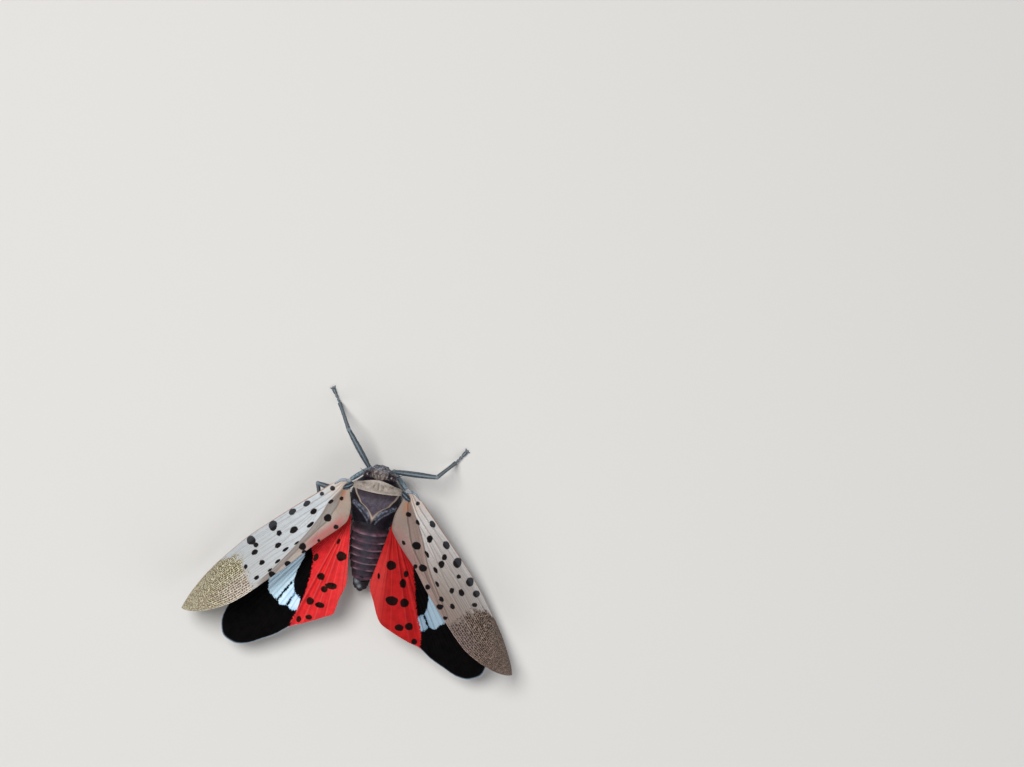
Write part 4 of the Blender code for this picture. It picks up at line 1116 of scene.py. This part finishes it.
def makeFeeler(side):
    knob = ball("feelerKnob", *head["knob"], (0, 0.1, -0.5), 48, 32)
    points = pointsOf(knob)
    dimples = np.sin(points[:, 0] * 31) * np.sin(points[:, 1] * 33) * np.sin(points[:, 2] * 35)
    movePoints(knob, points + (points - head["knob"][0]) * (0.06 * dimples)[:, None])
    bristle = pipe("bristle", head["bristle"], head["bristleRadii"], 24, 10)
    paint(bristle, dark=np.ones(len(bristle.data.vertices)))
    feeler = joined([knob, ball("scape", *head["scape"]), bristle], "feeler_" + side)
    if side == "right":
        movePoints(feeler, mirrored(pointsOf(feeler), side))
        editAll(feeler, bpy.ops.mesh.flip_normals)
    look = surfaceLook("feelerOrange" + side.title(), 0.45)
    pores = look.grain(0.06, kind="cells", low=0.1, high=0.7)
    colour = look.coat(look.shades(pores, head["knobColour"], 0.45, 1.25), "dark", trunk["chitin"])
    return settle(feeler, look.finished(colour, pores, 0.02, 0.6), ("antenna_" + side,))


def grooved(angle):  # a groove along the underside
    return 1 - 0.22 * ridge(np.abs(np.mod(angle, 2 * math.pi) - 1.5 * math.pi), 0.35)


def makeBeak():
    beak = pipe("beakSheath", head["beak"], head["beakRadii"], 90, 24, grooved)
    return settle(beak, chitinFinish(), ("beak",))


# The tegulae: a ribbed cap and a thin plate at the root of each forewing
wingRoot = {
    "cap": ((3.08, -1.43, 5.55), (0.66, 0.31, 0.26)),
    "turn": 0.74,
    "ribPitch": 0.3,
    "plate": (
        (2.75, -1.86, 5.58), (3.5, -1.99, 5.42), (3.98, -1.88, 5.3), (4.38, -1.52, 5.14),
        (4.6, -1.28, 4.98),
    ),
    "plateRadii": (0.1, 0.14, 0.12, 0.09, 0.05),
    # the pale, which on the plate and rib crests is also a painted highlight
    "wax": (0.33, 0.41, 0.49),
    "worn": (0.020, 0.027, 0.036),
}


def makeTegula(side):
    centre, radii = wingRoot["cap"]
    turn = wingRoot["turn"]
    cap = ball("cap", mirrored(centre, side), radii, (0, 0, turn if side == "left" else -turn))
    plate = pipe("plate", mirrored(wingRoot["plate"], side), wingRoot["plateRadii"], 40, 16)
    tegula = merged([cap, plate], "tegulaPlates_" + side, 0.035, 3)
    points = pointsOf(tegula)
    x, y = (mirrored(points, side) - np.array(centre))[:, :2].T
    lengthwise, across = x * math.cos(turn) + y * math.sin(turn), y * math.cos(turn) - x * math.sin(turn)
    onCap = step(1.25, 0.95, np.hypot(lengthwise / radii[0], across / radii[1]))
    waver = 0.05 * ripple(points, 0.4, 7.0)
    ribs = (0.5 + 0.5 * np.cos((across + 0.2 * lengthwise + waver) * 2 * math.pi / wingRoot["ribPitch"])) ** 3
    points[:, 2] += 0.02 * ripple(points, 0.25, 2.0) + 0.05 * ribs * onCap
    movePoints(tegula, points)
    # The rib crests and the plate are painted pale: partly wax and partly painted highlight
    ribWaxAndHighlight = 0.6 * ribs * (0.5 + 0.5 * np.clip(ripple(points, 0.3, 11.0), 0, 1))
    paint(tegula, waxy=np.maximum(0.8 * (1 - onCap), ribWaxAndHighlight))
    finish = waxFinish("tegulaWax" + side.title(), wingRoot["wax"], wingRoot["worn"])
    return settle(tegula, finish, ("tegula_" + side,))


# The legs
legs = {
    # Hip, end of the coxa, knee, ankle and toe
    "foreleg_left": (
        (3.1, -2.02, 3.45), (1.35, -3.6, 2.95), (4.2, -7.2, 4.4), (5.9, -9.75, 0.45), (6.85, -11.1, 0.2),
    ),
    "foreleg_right": (
        (-3.1, -1.9, 3.45), (-1.3, -3.66, 2.95), (-5.9, -4.0, 4.8), (-7.5, -5.75, 0.45), (-8.4, -7.1, 0.2),
    ),
    "midleg_left": (
        (1.5, -0.2, 3.3), (2.55, -0.4, 2.95), (6.4, -1.0, 3.4), (5.6, 2.2, 0.45), (6.2, 3.6, 0.2),
    ),
    "midleg_right": (
        (-1.5, -0.2, 3.3), (-2.5, 0.1, 2.95), (-6.1, 0.9, 3.2), (-7.7, 4.5, 0.45), (-8.2, 6.1, 0.2),
    ),
    "hindleg_left": ((1.4, 1.3, 3.2), (2.3, 2.0, 2.9), (5.5, 4.6, 3.2), (6.8, 11.3, 0.45), (7.0, 13.0, 0.2)),
    "hindleg_right": (
        (-1.4, 1.3, 3.2), (-2.3, 2.0, 2.9), (-5.6, 4.4, 3.2), (-7.5, 10.9, 0.45), (-7.8, 12.6, 0.2),
    ),
}
legForm = {
    # Radii from the root of each joint to its end, and how far along the foot each of its joints lies
    "coxa": {
        "foreleg": (0.2, 0.25, 0.24, 0.2),
        "midleg": (0.38, 0.44, 0.38, 0.27),
        "hindleg": (0.38, 0.44, 0.38, 0.27),
    },
    "femur": (0.2, 0.27, 0.29, 0.26, 0.2),
    "tibia": (0.21, 0.19, 0.18, 0.185, 0.22),
    "tarsusShares": ((0.0, 0.3), (0.3, 0.55), (0.55, 0.97)),
    "tarsus": (0.13, 0.15, 0.19),
    "spines": {"foreleg": 0, "midleg": 2, "hindleg": 4},
    "spineLength": 0.595,
    "trochanter": (0.27, 0.27, 0.25),
    "kneeCap": (0.23, 0.23, 0.22),
    "claw": (0.09, 0.06, 0.02),
    "clawPlaces": ((-0.08, 0.06), (0.12, 0.20), (0.24, 0.32)),  # past the toe, and aside from it
    "clawArch": 0.02,
    "clawHeight": 0.05,
    "pad": (0.15, 0.15, 0.12),
    "spine": (0.13, 0.08, 0.02),
    "dark": (0.022, 0.028, 0.036),
    "pale": (0.17, 0.22, 0.26),
    # pale patches on the coxae: partly wax and partly painted glints
    "coxaWaxAndGlints": (0.27, 0.38, 0.46),
}


def keeled(angle):  # the four low keels of a thigh or shin
    return 1 + 0.10 * np.cos(4 * angle + 0.4)


def uneven(angle):
    return 1 + 0.06 * np.cos(3 * angle)


def makeLeg(name):
    hip, thigh, knee, ankle, toe = (np.array(place) for place in legs[name])
    shin, foot = unit(ankle - knee), unit(toe - ankle)
    sag = np.array((0.0, 0.0, 0.12))
    pair = name.split("_")[0]
    coxa = pipe("coxa", (hip, (hip + thigh) / 2 - sag, thigh), legForm["coxa"][pair], 40, 24, uneven)
    femur = pipe("femur", (thigh, (thigh + knee) / 2 + sag, knee), legForm["femur"], 70, 28, keeled)
    tibia = pipe("tibia", (knee, (knee + ankle) / 2 - sag / 2, ankle), legForm["tibia"], 80, 24, keeled)
    paint(coxa, pale=np.ones(len(coxa.data.vertices)))
    pieces = [coxa, femur, tibia]
    pieces += [ball("trochanter", thigh, legForm["trochanter"]), ball("kneeCap", knee, legForm["kneeCap"])]
    for (low, high), radius in zip(legForm["tarsusShares"], legForm["tarsus"]):
        start, end = ankle + (toe - ankle) * low, ankle + (toe - ankle) * high
        sizes = (radius * 0.6, radius, radius * 1.1)
        pieces.append(pipe("tarsomere", (start, (start + end) / 2, end), sizes, 20, 16))
    aside = unit(np.cross(foot, (0.0, 0.0, 1.0)))
    for way in (-1, 1):
        claw = [toe + foot * past + aside * gap * way for past, gap in legForm["clawPlaces"]]
        claw[1][2] += legForm["clawArch"]
        claw[2][2] = legForm["clawHeight"]
        pieces.append(pipe("claw", claw, legForm["claw"], 16, 8))
    pieces.append(ball("pad", toe + foot * 0.1 - sag / 2, legForm["pad"], segments=16, rings=10))
    out = np.array((math.copysign(1.0, hip[0]), 0.0, 0.35))
    out = unit(out - shin * out.dot(shin))
    spines = legForm["spines"][pair]
    for k in range(spines):
        root = knee + (ankle - knee) * (0.3 + 0.62 * (k + 0.5) / spines)
        end = root + (out + shin * 0.55) * legForm["spineLength"]
        pieces.append(pipe("spine", (root, (root + end) / 2, end), legForm["spine"], 10, 8))
    leg = joined(pieces, name + "_limb")
    points = pointsOf(leg)
    points += 0.012 * ripple(points, 0.2)[:, None]
    points[:, 2] = np.maximum(points[:, 2], 0.0)
    movePoints(leg, points)
    return settle(leg, legFinish(name), (name,))


def legFinish(name):
    look = surfaceLook("legWax_" + name, 0.5)
    worn = look.grain(0.22, 6.0, 0.7)
    powder = look.grain(0.05, 2.0, 0.7)
    stripes = look.math(look.math(look.mark("angle"), 4.0), 0.0, "COSINE")
    keel = look.math(look.ramp(stripes, 0.1, 0.9, "LINEAR"), 0.75)
    colour = look.coat(look.mix(keel, legForm["dark"], legForm["pale"]), worn, legForm["pale"], 0.55)
    # The coxae: pale blue-grey patches, partly wax and partly painted glints
    colour = look.coat(colour, "pale", look.mix(worn, legForm["dark"], legForm["coxaWaxAndGlints"]))
    return look.finished(colour, powder, 0.02)


# The floor, the lights and the camera
def makeFloor():
    bpy.ops.object.select_all(action="DESELECT")
    bpy.ops.mesh.primitive_plane_add(size=studio["floorSize"], location=(0, 0, 0))
    floor = bpy.context.active_object
    floor.name = "paleFloor"
    look = surfaceLook("palePaper", 0.85)
    look.plug(look.shader.inputs["Base Color"], studio["floorColour"])
    floor.data.materials.append(look.material)


def makeLight(name):
    light = studio[name]
    bpy.ops.object.light_add(type="AREA", location=light["place"])
    lamp = bpy.context.active_object
    lamp.name = name + "Softbox"
    lamp.data.shape = "DISK"
    lamp.data.size = light["size"]
    lamp.data.energy = light["watts"]
    lamp.data.color = light["colour"]
    lamp.rotation_euler = (-lamp.location).to_track_quat("-Z", "Y").to_euler()


def makeSky():
    world = bpy.data.worlds.new("paleRoom")
    world.use_nodes = True
    background = world.node_tree.nodes["Background"]
    background.inputs["Color"].default_value = studio["skyColour"]
    background.inputs["Strength"].default_value = studio["sky"]
    bpy.context.scene.world = world
    bpy.context.scene.view_settings.view_transform = studio["viewTransform"]


def makeCamera():
    x, y = (np.array(camera["aim"]) + planCentre[:2]) * mm
    height = (camera["distance"] + camera["level"]) * mm
    bpy.ops.object.camera_add(location=(x, y, height), rotation=(0, 0, math.radians(180 + camera["roll"])))
    eye = bpy.context.active_object
    eye.name = "overhead"
    eye.data.lens = camera["lens"]
    eye.data.sensor_width = camera["sensor"]
    eye.data.clip_start = 0.01
    eye.data.clip_end = 10.0
    bpy.context.scene.camera = eye


makeFloor()
for lightName in ("key", "fill", "rim"):
    makeLight(lightName)
makeSky()
makeCamera()
print("the floor, lights and camera are set")
for side in sides:
    makeForewing(side)
    makeHindwing(side)
print("the wings are shaped")
makeCore()
makeCollar()
makeThorax()
makeAbdomen()
makeTail()
print("the trunk is shaped")
makeHead()
makeBeak()
for side in sides:
    makeEye(side)
    makeFeeler(side)
    makeTegula(side)
print("the head is shaped")
for legName in legs:
    makeLeg(legName)
print("the legs are shaped")
